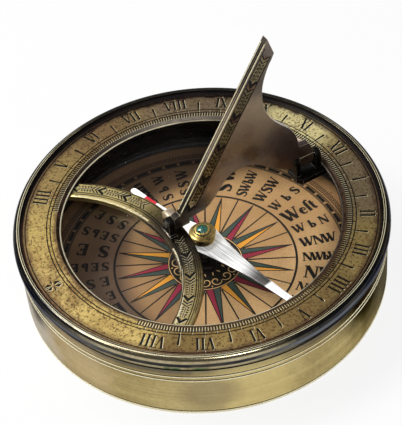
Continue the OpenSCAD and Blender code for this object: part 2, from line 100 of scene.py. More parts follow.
def modified(obj, kind, **settings):
    modifier = obj.modifiers.new(kind.lower(), kind)
    for key, value in settings.items():
        setattr(modifier, key, value)
    pick(obj)
    bpy.ops.object.modifier_apply(modifier=modifier.name)
    return obj


def edited(obj, gap, step, **settings):
    """Merges doubled points and takes one more step on the whole mesh."""
    pick(obj)
    bpy.ops.object.mode_set(mode="EDIT")
    bpy.ops.mesh.select_all(action="SELECT")
    bpy.ops.mesh.remove_doubles(threshold=gap)
    step(**settings)
    bpy.ops.object.mode_set(mode="OBJECT")
    return obj


def cleaned(obj, gap):
    """Merges doubled points and turns every face outwards."""
    return edited(obj, gap, bpy.ops.mesh.normals_make_consistent, inside=False)


def shaded(obj, angle=32):
    """Smooth shading that keeps edges sharper than the angle."""
    pick(obj)
    bpy.ops.object.shade_smooth_by_angle(angle=radians(angle))
    return obj


def turned(name, outline, steps=240):
    """Turns a closed outline of (radius, height) round the axis, as on a lathe."""
    bpy.ops.object.select_all(action="DESELECT")
    bpy.ops.mesh.primitive_plane_add(size=MM)
    obj = bpy.context.object
    obj.name = obj.data.name = name
    bpy.ops.object.mode_set(mode="EDIT")
    bpy.ops.mesh.select_all(action="SELECT")
    bpy.ops.mesh.merge(type="CENTER")
    bpy.ops.transform.translate(value=(outline[0][0] * MM, 0, outline[0][1] * MM))
    for (r0, z0), (r1, z1) in zip(outline, outline[1:] + outline[:1]):
        step = ((r1 - r0) * MM, 0, (z1 - z0) * MM)
        bpy.ops.mesh.extrude_region_move(TRANSFORM_OT_translate={"value": step})
    bpy.ops.mesh.select_all(action="SELECT")
    bpy.ops.mesh.spin(steps=steps, angle=2 * pi, center=(0, 0, 0), axis=(0, 0, 1))
    bpy.ops.object.mode_set(mode="OBJECT")
    return shaded(cleaned(obj, 1e-6))


def prisms(name, loops, low, high):
    """Closed blocks from flat outlines that don't cross, from one height to another."""
    curve = bpy.data.curves.new(name, "CURVE")
    curve.dimensions = "2D"
    curve.fill_mode = "BOTH"
    curve.extrude = (high - low) / 2
    for loop in loops:
        spline = curve.splines.new("POLY")
        spline.points.add(len(loop) - 1)
        for point, (x, y) in zip(spline.points, loop):
            point.co = (x, y, 0, 1)
        spline.use_cyclic_u = True
    obj = linked(name, curve)
    obj.location.z = (low + high) / 2
    pick(obj)
    bpy.ops.object.convert(target="MESH")
    obj = bpy.context.object
    bpy.ops.object.transform_apply(location=True, rotation=True, scale=True)
    cleaned(obj, 1e-4)
    obj.data.transform(Matrix.Scale(MM, 4))
    return obj


def graver(loops, face, depth):
    """A cutter that sinks outlines to a depth below a face."""
    return prisms("graver", loops, face - depth, face + CLEAR)


def cut(obj, finish, *tools):
    """Engraves a piece with cutters, one after another. The cut faces get their own finish."""
    for tool in tools:
        tool.data.materials.clear()
        tool.data.materials.append(finish)
        modified(obj, "BOOLEAN", operation="DIFFERENCE", solver="EXACT", material_mode="TRANSFER",
            object=tool)
        bpy.data.objects.remove(tool)


def like_node(name, node):
    """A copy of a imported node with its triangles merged, ready for edges and cuts."""
    obj = linked(name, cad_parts[node].data.copy())
    obj.data.materials.clear()
    pick(obj)
    bpy.ops.mesh.customdata_custom_splitnormals_clear()
    return edited(obj, 1e-6, bpy.ops.mesh.dissolve_limited, angle_limit=radians(0.6))


def softened(obj, width, angle=40, segments=2, worn=None):
    """Breaks the sharp edges of a piece by a small bevel, in the finish of worn edges if given."""
    edge = len(obj.data.materials) if worn else -1
    if worn:
        obj.data.materials.append(worn)
    return shaded(modified(obj, "BEVEL", width=width * MM, segments=segments, material=edge,
        limit_method="ANGLE", angle_limit=radians(angle)))


def dressed(obj, *finishes, rule=None):
    """Gives a piece its finishes. A rule picks the finish of each face from its middle (x, y, z)
    and its radius in mm, and from its slope, which is 1 where it faces up."""
    for finish in finishes:
        obj.data.materials.append(finish)
    if rule:
        for face in obj.data.polygons:
            x, y, z = (value / MM for value in face.center)
            face.material_index = rule(x, y, z, hypot(x, y), face.normal.z)
    return obj


def fitted(obj, body, slot, node=None):
    """Puts a finished piece on its body and hides the node it stands for."""
    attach(obj, body)
    if node:
        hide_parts(node)


# ---- pen and letters

def arc(cx, cy, rx, ry, start, end, count=10):
    """Points of an elliptical arc between two angles in degrees."""
    turns = [radians(start + (end - start) * i / count) for i in range(count + 1)]
    return [(cx + rx * cos(t), cy + ry * sin(t)) for t in turns]


def oval(cx, cy, rx, ry, tilt=0.0, count=12):
    """Closed outline of a small ellipse turned by tilt degrees."""
    c, s = cos(radians(tilt)), sin(radians(tilt))
    return [(cx + x * c - y * s, cy + x * s + y * c)
        for x, y in arc(0, 0, rx, ry, 0, 360, count)[:-1]]


def circle(r):
    return arc(0, 0, r, r, 0, 360, 240)[:-1]


def bands(*rings):
    """The outlines of rings, each given by its two radii."""
    return [circle(r) for ring in rings for r in ring]


def stroke(path, width):
    """Outline of a line drawn along a path, its width one number or one for each point."""
    widths = width if isinstance(width, list) else [width] * len(path)
    left, right = [], []
    for i, (x, y) in enumerate(path):
        normals = []
        for (ax, ay), (bx, by) in zip(path[max(i - 1, 0):i + 1], path[max(i, 1):i + 2]):
            length = hypot(bx - ax, by - ay)
            normals.append(Vector((-(by - ay) / length, (bx - ax) / length)))
        if i == 0:
            normals = normals[-1:]
        mean = sum(normals, Vector((0, 0))).normalized()
        reach = widths[i] / 2 / max(mean.dot(normals[0]), 0.4)
        left.append((x + mean.x * reach, y + mean.y * reach))
        right.append((x - mean.x * reach, y - mean.y * reach))
    return left + right[::-1]


THICK, FIRM, THIN, HAIR = 17, 13.5, 7.5, 5.5


def foot(x, y, half=13):
    """A serif: a short hairline across the end of a stroke."""
    return (2, HAIR, [(x - half, y), (x + half, y)])


def stem(x, top=100, width=THICK, layer=0):
    return (layer, width, [(x, 0), (x, top)])


S_PATH = [(56, 80), (49, 92), (34, 98), (18, 93), (11, 79), (17, 64), (34, 52), (50, 40), (57, 24),
          (49, 8), (32, 2), (15, 8), (8, 22)]
S_WIDTH = [5, 7, 8, 12, 16, 19, 20, 19, 16, 12, 8, 7, 5]
O_WIDTH = [6, 13, 15, 13, 6]

# Each letter: its width, then its strokes as (layer, width, path), in hundredths of the height.
# Strokes of one layer don't cross.
LETTERS = {
    "I": (36, [stem(18, width=FIRM), foot(18, 2, 14), foot(18, 98, 14)]),
    "V": (56, [(0, FIRM, [(8, 100), (28, 3)]), (1, HAIR, [(30, 0), (50, 100)]), foot(8, 98),
        foot(49, 98, 10)]),
    "X": (54, [(0, FIRM, [(8, 100), (46, 0)]), (1, HAIR, [(46, 100), (8, 0)]), foot(8, 98, 11),
        foot(46, 98, 10), foot(8, 2, 10), foot(46, 2, 11)]),
    "N": (90, [(0, THICK, [(16, 100), (74, 0)]), stem(15, 98, THIN, 1), stem(75, 100, THIN, 1),
        foot(15, 2), foot(9, 98, 9), foot(75, 98)]),
    "E": (74, [stem(19), (1, THIN, [(6, 96.5), (63, 96.5)]), (1, THIN, [(24, 52), (46, 52)]),
        (1, THIN, [(6, 3.5), (66, 3.5)]), (2, THIN, [(60, 76), (62, 99)]),
        (2, THIN, [(45, 40), (45, 64)]), (2, THIN, [(64, 1), (67, 26)])]),
    "S": (66, [(0, S_WIDTH, S_PATH), (1, HAIR, [(57, 74), (57, 99)]),
        (1, HAIR, [(8, 1), (8, 28)])]),
    "W": (116, [(0, THICK, [(9, 100), (34, 0)]), (1, THIN, [(36, 0), (62, 96)]),
        (0, THICK, [(50, 100), (75, 0)]), (1, THIN, [(77, 0), (102, 99)]), foot(9, 98),
        foot(54, 98), foot(102, 98, 11)]),
    "b": (60, [stem(14), (1, [6, 12, 17, 17, 12, 6], arc(18, 27, 30, 25, 95, -95, 5)),
        foot(8, 98, 8)]),
    "e": (50, [(0, [6, 7, 12, 16, 14, 10, 6, 5], arc(25, 28, 19, 27, 20, 320, 7)),
        (1, HAIR, [(10, 33), (43, 33)])]),
    "f": (34, [(0, [15, 15, 12, 8, 8], [(14, 0), (14, 70), (17, 90), (27, 99), (40, 93)]),
        foot(14, 2, 12)]),
    "t": (40, [(0, [13, 14, 10, 6], [(14, 80), (14, 14), (20, 3), (33, 8)]),
        (1, HAIR, [(2, 56), (32, 56)])]),
    "o": (52, [(0, O_WIDTH, arc(25, 28, 18, 26, 90, 270, 4)),
        (1, O_WIDTH, arc(25, 28, 18, 26, -90, 90, 4))]),
    "r": (44, [stem(14, 56, 14), (1, [5, 8, 12], [(16, 40), (26, 53), (38, 50)]), foot(14, 2)]),
    "h": (62, [stem(14, 100, 14), (1, [5, 8, 13, 14, 14], [(16, 38), (28, 53), (42, 50), (47, 38),
        (47, 0)]),
        foot(14, 2, 11), foot(47, 2, 11)]),
    "u": (60, [(0, [14, 14, 10, 6], [(13, 56), (13, 16), (22, 2), (36, 12)]), stem(44, 56, 14, 1),
        foot(8, 54, 8), foot(50, 2, 9)]),
    "a": (52, [(0, [9, 8, 12, 14, 12], [(10, 46), (22, 55), (35, 50), (38, 36), (38, 2)]),
        (1, [5, 12, 14, 9, 5], [(36, 34), (18, 28), (11, 14), (20, 3), (36, 12)])]),
}


def lettering(text, height, bold, spread=None, wide=1.0):
    """A word's outlines as (layer, outline), starting at (0, 0), and its width.
    With spread, its letters are set apart to fill that width, and each stroke has its own layer."""
    unit = height / 100
    natural = sum(LETTERS[c][0] for c in text) * unit * wide
    space = (spread - natural) / max(len(text) - 1, 1) if spread else 0.0
    marks, x = [], 0.0
    for k, letter in enumerate(text):
        width, strokes = LETTERS[letter]
        for i, (layer, weight, path) in enumerate(strokes):
            if spread:
                layer = 2 * i + k % 2
            heavy = unit * bold
            weight = [w * heavy for w in weight] if isinstance(weight, list) else weight * heavy
            path = [(x + px * unit * wide, py * unit) for px, py in path]
            marks.append((layer, stroke(path, weight)))
        x += width * unit * wide + space
    return marks, x - space


def placed(marks, where):
    """Moves (layer, outline) marks by a function from a flat point to a flat point."""
    return [(layer, [where(x, y) for x, y in loop]) for layer, loop in marks]


def laid(where, *loops):
    """Moves outlines in the same way and puts them in the lowest layer."""
    return placed([(0, loop) for loop in loops], where)


def layers(marks):
    """Sorts outlines into lists whose outlines don't cross."""
    return [[loop for layer, loop in marks if layer == k] for k in sorted({m[0] for m in marks})]


def shifted(loops, dx, dy):
    """The same outlines a little aside, for a painted highlight along one side of a cut."""
    return [[(x + dx, y + dy) for x, y in loop] for loop in loops]


def outward(angle, r0=0, across=0):
    """Reads away from the centre: x runs outwards from r0, and the tops point anticlockwise."""
    c, s = cos(radians(angle)), sin(radians(angle))
    return lambda x, y: ((r0 + x) * c - (y - across) * s, (r0 + x) * s + (y - across) * c)


def standing(angle, r0, middle=0):
    """Reads clockwise: y runs outwards from r0, and x is centred on middle."""
    c, s = cos(radians(angle)), sin(radians(angle))
    return lambda x, y: ((r0 + y) * c + (x - middle) * s, (r0 + y) * s - (x - middle) * c)


# ---- shader tools

def feed(sockets, **values):
    """Feeds inputs by name, or by number as _0, from another socket, a number or a colour.
    Three values on a colour input are 0 to 255, as the eye reads them."""
    for key, value in values.items():
        socket = sockets[int(key[1:]) if key[0] == "_" else key.replace("_", " ")]
        if isinstance(value, bpy.types.NodeSocket):
            socket.id_data.links.new(value, socket)
        elif socket.type == "RGBA" and len(value) == 3:
            socket.default_value = tuple(((v / 255 + 0.055) / 1.055) ** 2.4 if v > 10
                else v / 255 / 12.92 for v in value) + (1.0,)
        else:
            socket.default_value = value


def add(tree, kind, fields=(), **inputs):
    made = tree.nodes.new("ShaderNode" + kind)
    for key, value in dict(fields).items():
        setattr(made, key, value)
    feed(made.inputs, **inputs)
    return made


def calc(kind, a, b=0.0, c=0.0):
    tree = next(v for v in (a, b, c) if isinstance(v, bpy.types.NodeSocket)).id_data
    return add(tree, "Math", {"operation": kind}, _0=a, _1=b, _2=c).outputs[0]


def times(value, *others):
    for other in others:
        value = calc("MULTIPLY", value, other)
    return value


def plus(a, b):
    return calc("ADD", a, b)


def linear(value, slope, base):
    return calc("MULTIPLY_ADD", value, slope, base)


def mixed(share, a, b):
    return add(share.id_data, "Mix", {"data_type": "RGBA"}, _0=share, _6=a, _7=b).outputs[2]


def ramp(value, low, high, out_low=0.0, out_high=1.0):
    """Smooth step from out_low to out_high as value goes from low to high."""
    return add(value.id_data, "MapRange", {"interpolation_type": "SMOOTHSTEP"}, _0=value, _1=low,
        _2=high, _3=out_low, _4=out_high).outputs[0]


def fall(value, low, high):
    return ramp(value, low, high, 1.0, 0.0)


def noise(at, scale, detail=3.0, rough=0.55, distortion=0.0):
    return add(at.id_data, "TexNoise", Vector=at, Scale=scale, Detail=detail, Roughness=rough,
        Distortion=distortion).outputs["Fac"]


def place(tree):
    """Coordinates of the piece itself."""
    return add(tree, "TexCoord").outputs["Object"]


def measure(kind, at, other=(0, 0, 0)):
    return add(at.id_data, "VectorMath", {"operation": kind}, _0=at, _1=other).outputs["Value"]


def polar(at):
    """Distance from the axis and height, in mm."""
    x, y, z = add(at.id_data, "SeparateXYZ", _0=at).outputs
    flat = add(at.id_data, "CombineXYZ", _0=x, _1=y).outputs[0]
    return times(measure("LENGTH", flat), 1000.0), times(z, 1000.0)


def bump(height, distance):
    return add(height.id_data, "Bump", Strength=1.0, Distance=distance * MM,
        Height=height).outputs[0]


def group(name, ins, outs):
    """A shader group whose inputs and outputs are given as text, each as Kind Name."""
    tree = bpy.data.node_groups.new(name, "ShaderNodeTree")
    for way, sockets in (("INPUT", ins), ("OUTPUT", outs)):
        for kind, label in (entry.split() for entry in sockets.split(", ")):
            tree.interface.new_socket(label, in_out=way, socket_type="NodeSocket" + kind)
    return tree, tree.nodes.new("NodeGroupInput").outputs, tree.nodes.new("NodeGroupOutput").inputs


def use(tree, name, **inputs):
    made = tree.nodes.new("ShaderNodeGroup")
    made.node_tree = bpy.data.node_groups[name]
    feed(made.inputs, **inputs)
    return made.outputs


def make_patina():
    """Old brass: tarnish in soft patches, fine mottling and dark pits."""
    tree, given, result = group("patina",
        "Color Clean, Color Tarnish, Color Pit, Float Scale, Float Share, Float Pits, "
        "Float Gloss", "Color Color, Float Roughness, Float Height")
    at, share = place(tree), given["Share"]
    patch = ramp(noise(at, given["Scale"], 5, 0.62, 0.4), 0.36, 0.66)
    fine = noise(at, 900.0, 4, 0.6)
    dull = times(share, plus(patch, ramp(fine, 0.3, 0.75, -0.25, 0.35)))
    limit = linear(given["Pits"], -0.14, 0.76)
    pit = ramp(noise(at, 1500.0, 2, 0.5), limit, plus(limit, 0.06))
    rough = times(share, ramp(fine, 0.3, 0.7, -0.05, 0.10))
    rough = plus(linear(patch, 0.10, given["Gloss"]), rough)
    feed(result, Color=mixed(times(pit, 0.8), mixed(dull, given["Clean"], given["Tarnish"]),
        given["Pit"]), Roughness=linear(pit, 0.25, rough),
        Height=calc("SUBTRACT", times(fine, 0.4), pit))


def make_turning():
    """Fine rings left by the lathe, by radius and height: so many lines to a millimetre."""
    tree, given, result = group("turning", "Float Lines", "Float Marks")
    at = place(tree)
    x, y, _ = add(tree, "SeparateXYZ", _0=at).outputs
    radius, height = polar(at)
    rings = add(tree, "CombineXYZ", _0=times(radius, given["Lines"]),
        _1=times(height, given["Lines"]), _2=times(calc("ARCTAN2", y, x), 0.8)).outputs[0]
    feed(result, Marks=noise(rings, 1.0, 2, 0.5))


def make_soft_patch():
    """A soft patch round a place on the piece, with a wandering edge."""
    tree, given, result = group("soft_patch", "Vector Middle, Float Reach", "Float Mask")
    at = place(tree)
    edge = times(given["Reach"], linear(noise(at, 130.0, 4, 0.6), 0.9, 0.55))
    share = calc("DIVIDE", measure("DISTANCE", at, given["Middle"]), edge)
    feed(result, Mask=fall(share, 0.45, 1.15))


def make_ink():
    """Old printing: thin ink with paper showing through in grains."""
    tree, given, result = group("ink", "Color Ink, Color Paper, Float Wear",
        "Color Color, Float Roughness")
    at = place(tree)
    grain = ramp(noise(at, 2600.0, 3, 0.7), 0.52, 0.80)
    broad = ramp(noise(at, 260.0, 2, 0.5), 0.30, 0.75, 0.35, 1.2)
    feed(result, Color=mixed(times(grain, broad, given["Wear"]), given["Ink"], given["Paper"]),
        Roughness=linear(grain, 0.2, 0.5))


for maker in (make_patina, make_turning, make_soft_patch, make_ink):
    maker()


def patina(tree, clean, tarnish, pit, gloss, patch=90.0, share=0.5, pits=0.5):
    return use(tree, "patina", Clean=clean, Tarnish=tarnish, Pit=pit, Gloss=gloss, Scale=patch,
        Share=share, Pits=pits)


def soft_patch(tree, middle, reach):
    """How strong a soft patch is here, from its middle and its reach in mm."""
    return use(tree, "soft_patch", Middle=tuple(v * MM for v in middle), Reach=reach * MM)["Mask"]


def with_patches(colour, *patches):
    """Soft patches over a colour, most of them painted light and shade: (middle in mm, reach in mm,
    colour, strength).
    """
    for middle, reach, tint, strength in patches:
        mask = soft_patch(colour.id_data, middle, reach)
        colour = mixed(times(mask, strength), colour, tint)
    return colour


# ---- finishes

def material(name, look, **fixed):
    """A new material: plain settings, and inputs that a look wires up in its tree."""
    made = bpy.data.materials.new(name)
    made.use_nodes = True
    tree = made.node_tree
    feed(tree.nodes["Principled BSDF"].inputs, **fixed)
    feed(tree.nodes["Principled BSDF"].inputs, **look(tree))
    return made


def brass(name, *look, patches=(), metal=1.0, depth=0.012, **shares):
    """Old brass: its clean, tarnished and pitted colours, its roughness and soft patches of colour,
    which paint light and shade on most pieces.
    """
    def wired(tree):
        old = patina(tree, *look, **shares)
        return dict(Base_Color=with_patches(old["Color"], *patches), Roughness=old["Roughness"],
            Normal=bump(old["Height"], depth))
    return material(name, wired, Metallic=metal)


def inked(name, colour, wear, paper=(176, 134, 80), **fixed):
    """Thin dark paint or ink that wears through in grains."""
    def wired(tree):
        ink = use(tree, "ink", Ink=colour, Paper=paper, Wear=wear)
        return dict(Base_Color=ink["Color"], Roughness=ink["Roughness"])
    return material(name, wired, **fixed)


BRIGHT_FINISH = {"share": 0.4, "pits": 0.1, "metal": 0.5}
BRIGHT = ((255, 246, 208), (224, 204, 150), (110, 90, 60), 0.24)

ENGRAVED = inked("engraved_dark", (14, 10, 7), 0.2, (96, 74, 44), Metallic=0.6)
# Painted highlights towards both ends of the strap and the painted shadow of the gnomon across its
# middle.
BRIDGE = brass("bridge_brass_aged_lit_and_shaded", (206, 184, 122), (120, 98, 64), (44, 32, 22), 0.28, patch=190.0,
    share=0.8, pits=0.8, patches=[((-34, -16, 21), 26, (244, 222, 150), 0.8),
    ((26, -36, 21), 18, (236, 216, 152), 0.6), ((3, -9, 21), 17, (58, 52, 48), 0.9)])
# Bright brass for worn edges, and for painted highlights on the lit side of cuts, grooves and
# edges.
BRIGHT_EDGE = brass("worn_and_highlight_edge_brass", *BRIGHT, **BRIGHT_FINISH)
# Dark brown brass for the dial's inner bevel and the gnomon's engraved ground; its patch is a
# painted grey reflection on the far side.
SHADE = brass("dial_grime_and_shade", (122, 98, 80), (70, 54, 44), (26, 20, 16), 0.40, patch=240.0, share=0.9,
    pits=0.7, patches=[((-34, 22, 22), 46, (112, 108, 100), 0.7)])
# Painted highlight along the dial's inner lip, fading into painted shade on the far side.
LIP = brass("lip_brass_highlight", (255, 244, 212), (222, 206, 160), (110, 90, 60), 0.26,
    patches=[((4, 42, 22), 62, (66, 54, 44), 0.95)], **BRIGHT_FINISH)
# Painted highlight on the rim's crest, dimmed by painted shade on the far side.
CREST = brass("crest_brass_highlight", *BRIGHT, patches=[((-44, 26, 24), 60, (36, 34, 34), 0.95)], **BRIGHT_FINISH)
OLD_LEAF = brass("old_leaf_brass", (178, 162, 116), (96, 84, 60), (40, 32, 24), 0.34, patch=520.0,
    share=0.9, pits=0.8, patches=[((1, 22, 62), 16, (110, 100, 78), 0.8)])
DARK = brass("blackened_brass", (44, 42, 40), (22, 21, 20), (12, 11, 10), 0.38, patch=300.0,
    share=0.8)
DARK_EDGE = brass("blackened_edge", (226, 216, 196), (150, 140, 122), (60, 54, 46), 0.28,
    patch=500.0, share=0.7, metal=0.6)
TAB = brass("tab_brass", (250, 232, 208), (196, 160, 126), (90, 66, 48), 0.3, patch=420.0,
    share=0.6, pits=0.4)
PLAIN = brass("plain_brass_aged", (196, 168, 104), (140, 112, 64), (70, 50, 30), 0.36)
# Painted reflections and shade on the plate: darker at the top and in the lobe, pale bands low
# down, dark by the foot.
GNOMON = brass("gnomon_brass_aged_lit_and_shaded", (190, 174, 156), (138, 122, 108), (60, 52, 48), 0.31,
    patch=80.0, share=0.85, pits=0.6, patches=[((1, 24, 66), 15, (92, 84, 78), 0.9),
    ((1, 16, 50), 13, (204, 180, 150), 0.5), ((1, 33, 35), 13, (122, 106, 104), 0.9),
    ((1, 17, 38), 4, (110, 92, 78), 0.6), ((1, 12, 31), 9, (196, 192, 194), 0.8),
    ((0, -6, 29), 10, (54, 50, 48), 0.92), ((1, 20, 31), 6, (180, 172, 168), 0.7)])
# Painted dark reflections on the lower half of the cap.
CAP = brass("cap_brass_polished", (255, 226, 140), (214, 172, 92), (70, 50, 24), 0.22, patch=220.0,
    share=0.12, pits=-1.0, depth=0.0002, patches=[((3.4, -1.6, 14.4), 3.6, (104, 76, 36), 0.8),
    ((2.8, -2.2, 13.3), 2.4, (58, 42, 20), 0.9)])
STEEL = brass("pin_steel", (176, 172, 166), (120, 112, 104), (60, 50, 42), 0.3, patch=400.0,
    share=0.6, pits=0.3)
INK_BLACK, INK_GREEN, INK_RED, INK_YELLOW, INK_GOLD = (inked("print_" + name, colour, wear,
    Specular_IOR_Level=0.15) for name, colour, wear in (("black", (10, 9, 10), 0.08),
    ("green", (48, 64, 58), 0.3), ("crimson", (120, 30, 50), 0.3), ("orange", (186, 130, 42), 0.25),
    ("gold", (206, 170, 112), 0.2)))


def dial_look(tree):
    """Gold brass with fine dark specks, browned towards both edges, with painted reflections and
    shade round the ring: brighter at the front, duller in painted shade on the far side, and a
    painted bright reflection near XI.
    """
    at = place(tree)
    look = patina(tree, (214, 188, 120), (128, 98, 64), (44, 30, 22), 0.35, 150.0, 0.75, 0.9)
    # Painted reflections and shade: lighter patches at the front, darker and greyer ones at the
    # sides and far side, a painted shadow of the gnomon near I, and a painted bright reflection
    # near XI.
    colour = with_patches(look["Color"], ((24, -42, 23), 16, (232, 204, 124), 0.4),
        ((-20, -44, 23), 14, (214, 186, 112), 0.5), ((-42, -20, 23), 26, (166, 138, 92), 0.5),
        ((38, -28, 23), 9, (116, 94, 58), 0.75), ((46, 8, 23), 18, (144, 118, 76), 0.6),
        ((44, -18, 23), 14, (156, 128, 78), 0.5), ((-36, 30, 23), 34, (150, 132, 114), 0.75),
        ((-50, -8, 23), 16, (138, 112, 84), 0.6), ((14, 45, 23), 17, (160, 142, 116), 0.8),
        ((-16, 44, 23), 15, (240, 226, 162), 0.9))
    wander = linear(noise(at, 260.0, 4, 0.65), 3.6, polar(at)[0])
    brown = calc("MAXIMUM", ramp(wander, 50.2, 52.4), fall(wander, 43.4, 44.6))
    colour = mixed(times(brown, 0.75), colour, (98, 72, 60))
    # Painted shade: the outer edge goes nearly black on the far side.
    black = times(ramp(wander, 51.2, 52.0), soft_patch(tree, (-46, 22, 23), 56), 0.9)
    speck = ramp(noise(at, 1400.0, 3, 0.65), 0.5, 0.62, 0.0, 0.75)
    # The painted reflection near XI is also made less metallic.
    return dict(Base_Color=mixed(speck, mixed(black, colour, (32, 28, 30)), (88, 64, 42)),
        Roughness=linear(speck, 0.12, look["Roughness"]), Normal=bump(look["Height"], 0.02),
        Metallic=linear(soft_patch(tree, (-16, 44, 23), 15), -0.6, 1.0))


def case_look(tree):
    """Satin brass, brushed round the bowl, with painted light and shade: a pale belt between
    painted shade under the rim and towards the base, a painted sheen on the left and darker sides.
    """
    at = place(tree)
    look = patina(tree, (206, 188, 132), (160, 140, 92), (100, 84, 60), 0.25, 26.0, 0.55, -1.0)
    _, height = polar(at)
    broad, fine = (use(tree, "turning", Lines=lines)["Marks"] for lines in (0.26, 1.7))
    wander = linear(noise(at, 40.0), 5.0, height)
    # Painted shade: darker towards the rim and the base, with broad turning marks mixed in.
    dull = calc("MAXIMUM", ramp(wander, 13.0, 19.5, 0.0, 0.5), ramp(wander, 2.0, 5.5, 0.35, 0.0))
    dull = linear(ramp(broad, 0.35, 0.7), 0.4, dull)
    colour = mixed(dull, look["Color"], (132, 112, 72))
    # Painted shadow of the rim along the top of the bowl.
    colour = mixed(ramp(height, 16.7, 18.2, 0.0, 0.75), colour, (92, 91, 86))
    # Painted sheen and shade round the sides: pale on the left, lighter and darker patches at the
    # front, and a near-black painted shadow under the seam on the right.
    colour = with_patches(mixed(ramp(fine, 0.3, 0.7, 0.0, 0.25), colour, (120, 104, 70)),
        ((-18, -50, 9), 30, (236, 230, 222), 0.9), ((-4, -53, 19), 12, (78, 76, 72), 0.9),
        ((16, -51, 9), 15, (206, 184, 148), 0.5), ((50, -16, 9), 18, (232, 212, 146), 0.5),
        ((46, -26, 9), 9, (128, 112, 88), 0.6), ((-25, -47, 9), 8, (90, 86, 88), 0.8),
        ((46, 26, 19), 16, (26, 25, 22), 0.97), ((30, 44, 10), 26, (104, 96, 74), 0.9))
    return dict(Base_Color=colour, Normal=bump(fine, 0.002),
        Roughness=plus(look["Roughness"], ramp(fine, 0.3, 0.7, -0.03, 0.06)),
        Metallic=ramp(measure("DOT_PRODUCT", at, RIGHT_SIDE), 42.0, 50.0, 1.0, 0.08))


def rim_look(tree):
    """Polished bead with a painted dark reflection round it and a painted grey streak in it, a cove
    in painted shade that is brown at the front, everything darkened to black on the far side, and a
    green patch.
    """
    at = place(tree)
    look = patina(tree, (196, 184, 150), (140, 122, 84), (60, 52, 40), 0.13, 60.0, 0.6, -0.5)
    radius, height = polar(at)
    wobble = noise(at, 70.0, 4, 0.6)
    level = linear(wobble, 0.6, plus(height, -0.3))
    # Near the front right the painted dark band gives way to brass.
    worn = soft_patch(tree, (44, -31, 22), 32)
    narrow = times(ramp(level, 21.2, 21.7), fall(level, 22.5, 22.9))
    bare = times(worn, calc("SUBTRACT", 1.0, narrow))
    # Painted dark reflection: a dark band round the bead.
    painted_dark_band = times(ramp(level, 20.2, 20.5), ramp(radius, 52.66, 52.72),
        ramp(wobble, 0.25, 0.6, 0.85, 0.98), linear(bare, -0.9, 1.0))
    # Painted grey streak of reflection in the band, left out near the front right.
    painted_grey_streak = times(ramp(level, 21.0, 21.6), fall(level, 22.2, 23.0), linear(worn, -1.0, 1.0))
    painted_band_colour = mixed(painted_grey_streak, (30, 34, 42), (104, 108, 114))
    # Painted shade in the cove.
    cove = times(fall(radius, 52.44, 52.48), ramp(wobble, 0.3, 0.6, 0.88, 1.0))
    # Painted shade: the band and the cove go black on the far side.
    far = ramp(measure("DOT_PRODUCT", at, FAR_SIDE), -18.0, 8.0)
    black = times(calc("MAXIMUM", painted_dark_band, cove), far)
    colour = mixed(black, mixed(painted_dark_band, look["Color"], painted_band_colour), (24, 23, 26))
    # The cove's painted shade is brown near the front and near-black elsewhere.
    near = mixed(soft_patch(tree, (24, -45, 23), 50), (26, 22, 22), (112, 80, 66))
    green = times(soft_patch(tree, (43.5, -31.6, 20.0), 8), fall(height, 20.9, 21.6),
        ramp(noise(at, 420.0), 0.38, 0.55), 0.8)
    return dict(Base_Color=mixed(green, mixed(cove, colour, near), (46, 96, 60)),
        Roughness=linear(cove, 0.16, look["Roughness"]), Normal=bump(look["Height"], 0.001),
        Metallic=linear(black, -0.95, 1.0))


def needle_look(tree):
    """Bright steel with a painted dark reflection on the long arm, and a white and red painted
    tail.
    """
    at = place(tree)
    lengthwise = add(tree, "Mapping", {"vector_type": "TEXTURE"}, Vector=at,
        Rotation=(0, 0, radians(NEEDLE_TURN))).outputs[0]
    along = times(add(tree, "SeparateXYZ", _0=lengthwise).outputs[0], 1000.0)
    brushed = add(tree, "Mapping", Vector=lengthwise, Scale=(60, 2600, 2600)).outputs[0]
    grain = noise(brushed, 1.0, 3, 0.6)
    steel = mixed(ramp(grain, 0.35, 0.7), (222, 222, 220), (255, 255, 255))
    # Painted dark reflection across the long arm.
    painted_dark_reflection = times(ramp(along, 14.0, 22.5), fall(along, 25.6, 26.6), 0.95)
    painted = fall(along, -5.2, -4.8)
    chip = ramp(noise(at, 700.0), 0.68, 0.74)
    red = times(ramp(along, -25.0, -24.8), fall(along, -20.5, -20.3))
    coat = mixed(red, (244, 244, 240), mixed(chip, (186, 40, 52), (214, 96, 96)))
    return dict(Base_Color=mixed(painted, mixed(painted_dark_reflection, steel, (30, 28, 26)), coat),
        Metallic=linear(painted, -0.15, 0.15), Normal=bump(grain, 0.004),
        Roughness=ramp(grain, 0.3, 0.7, 0.22, 0.36))


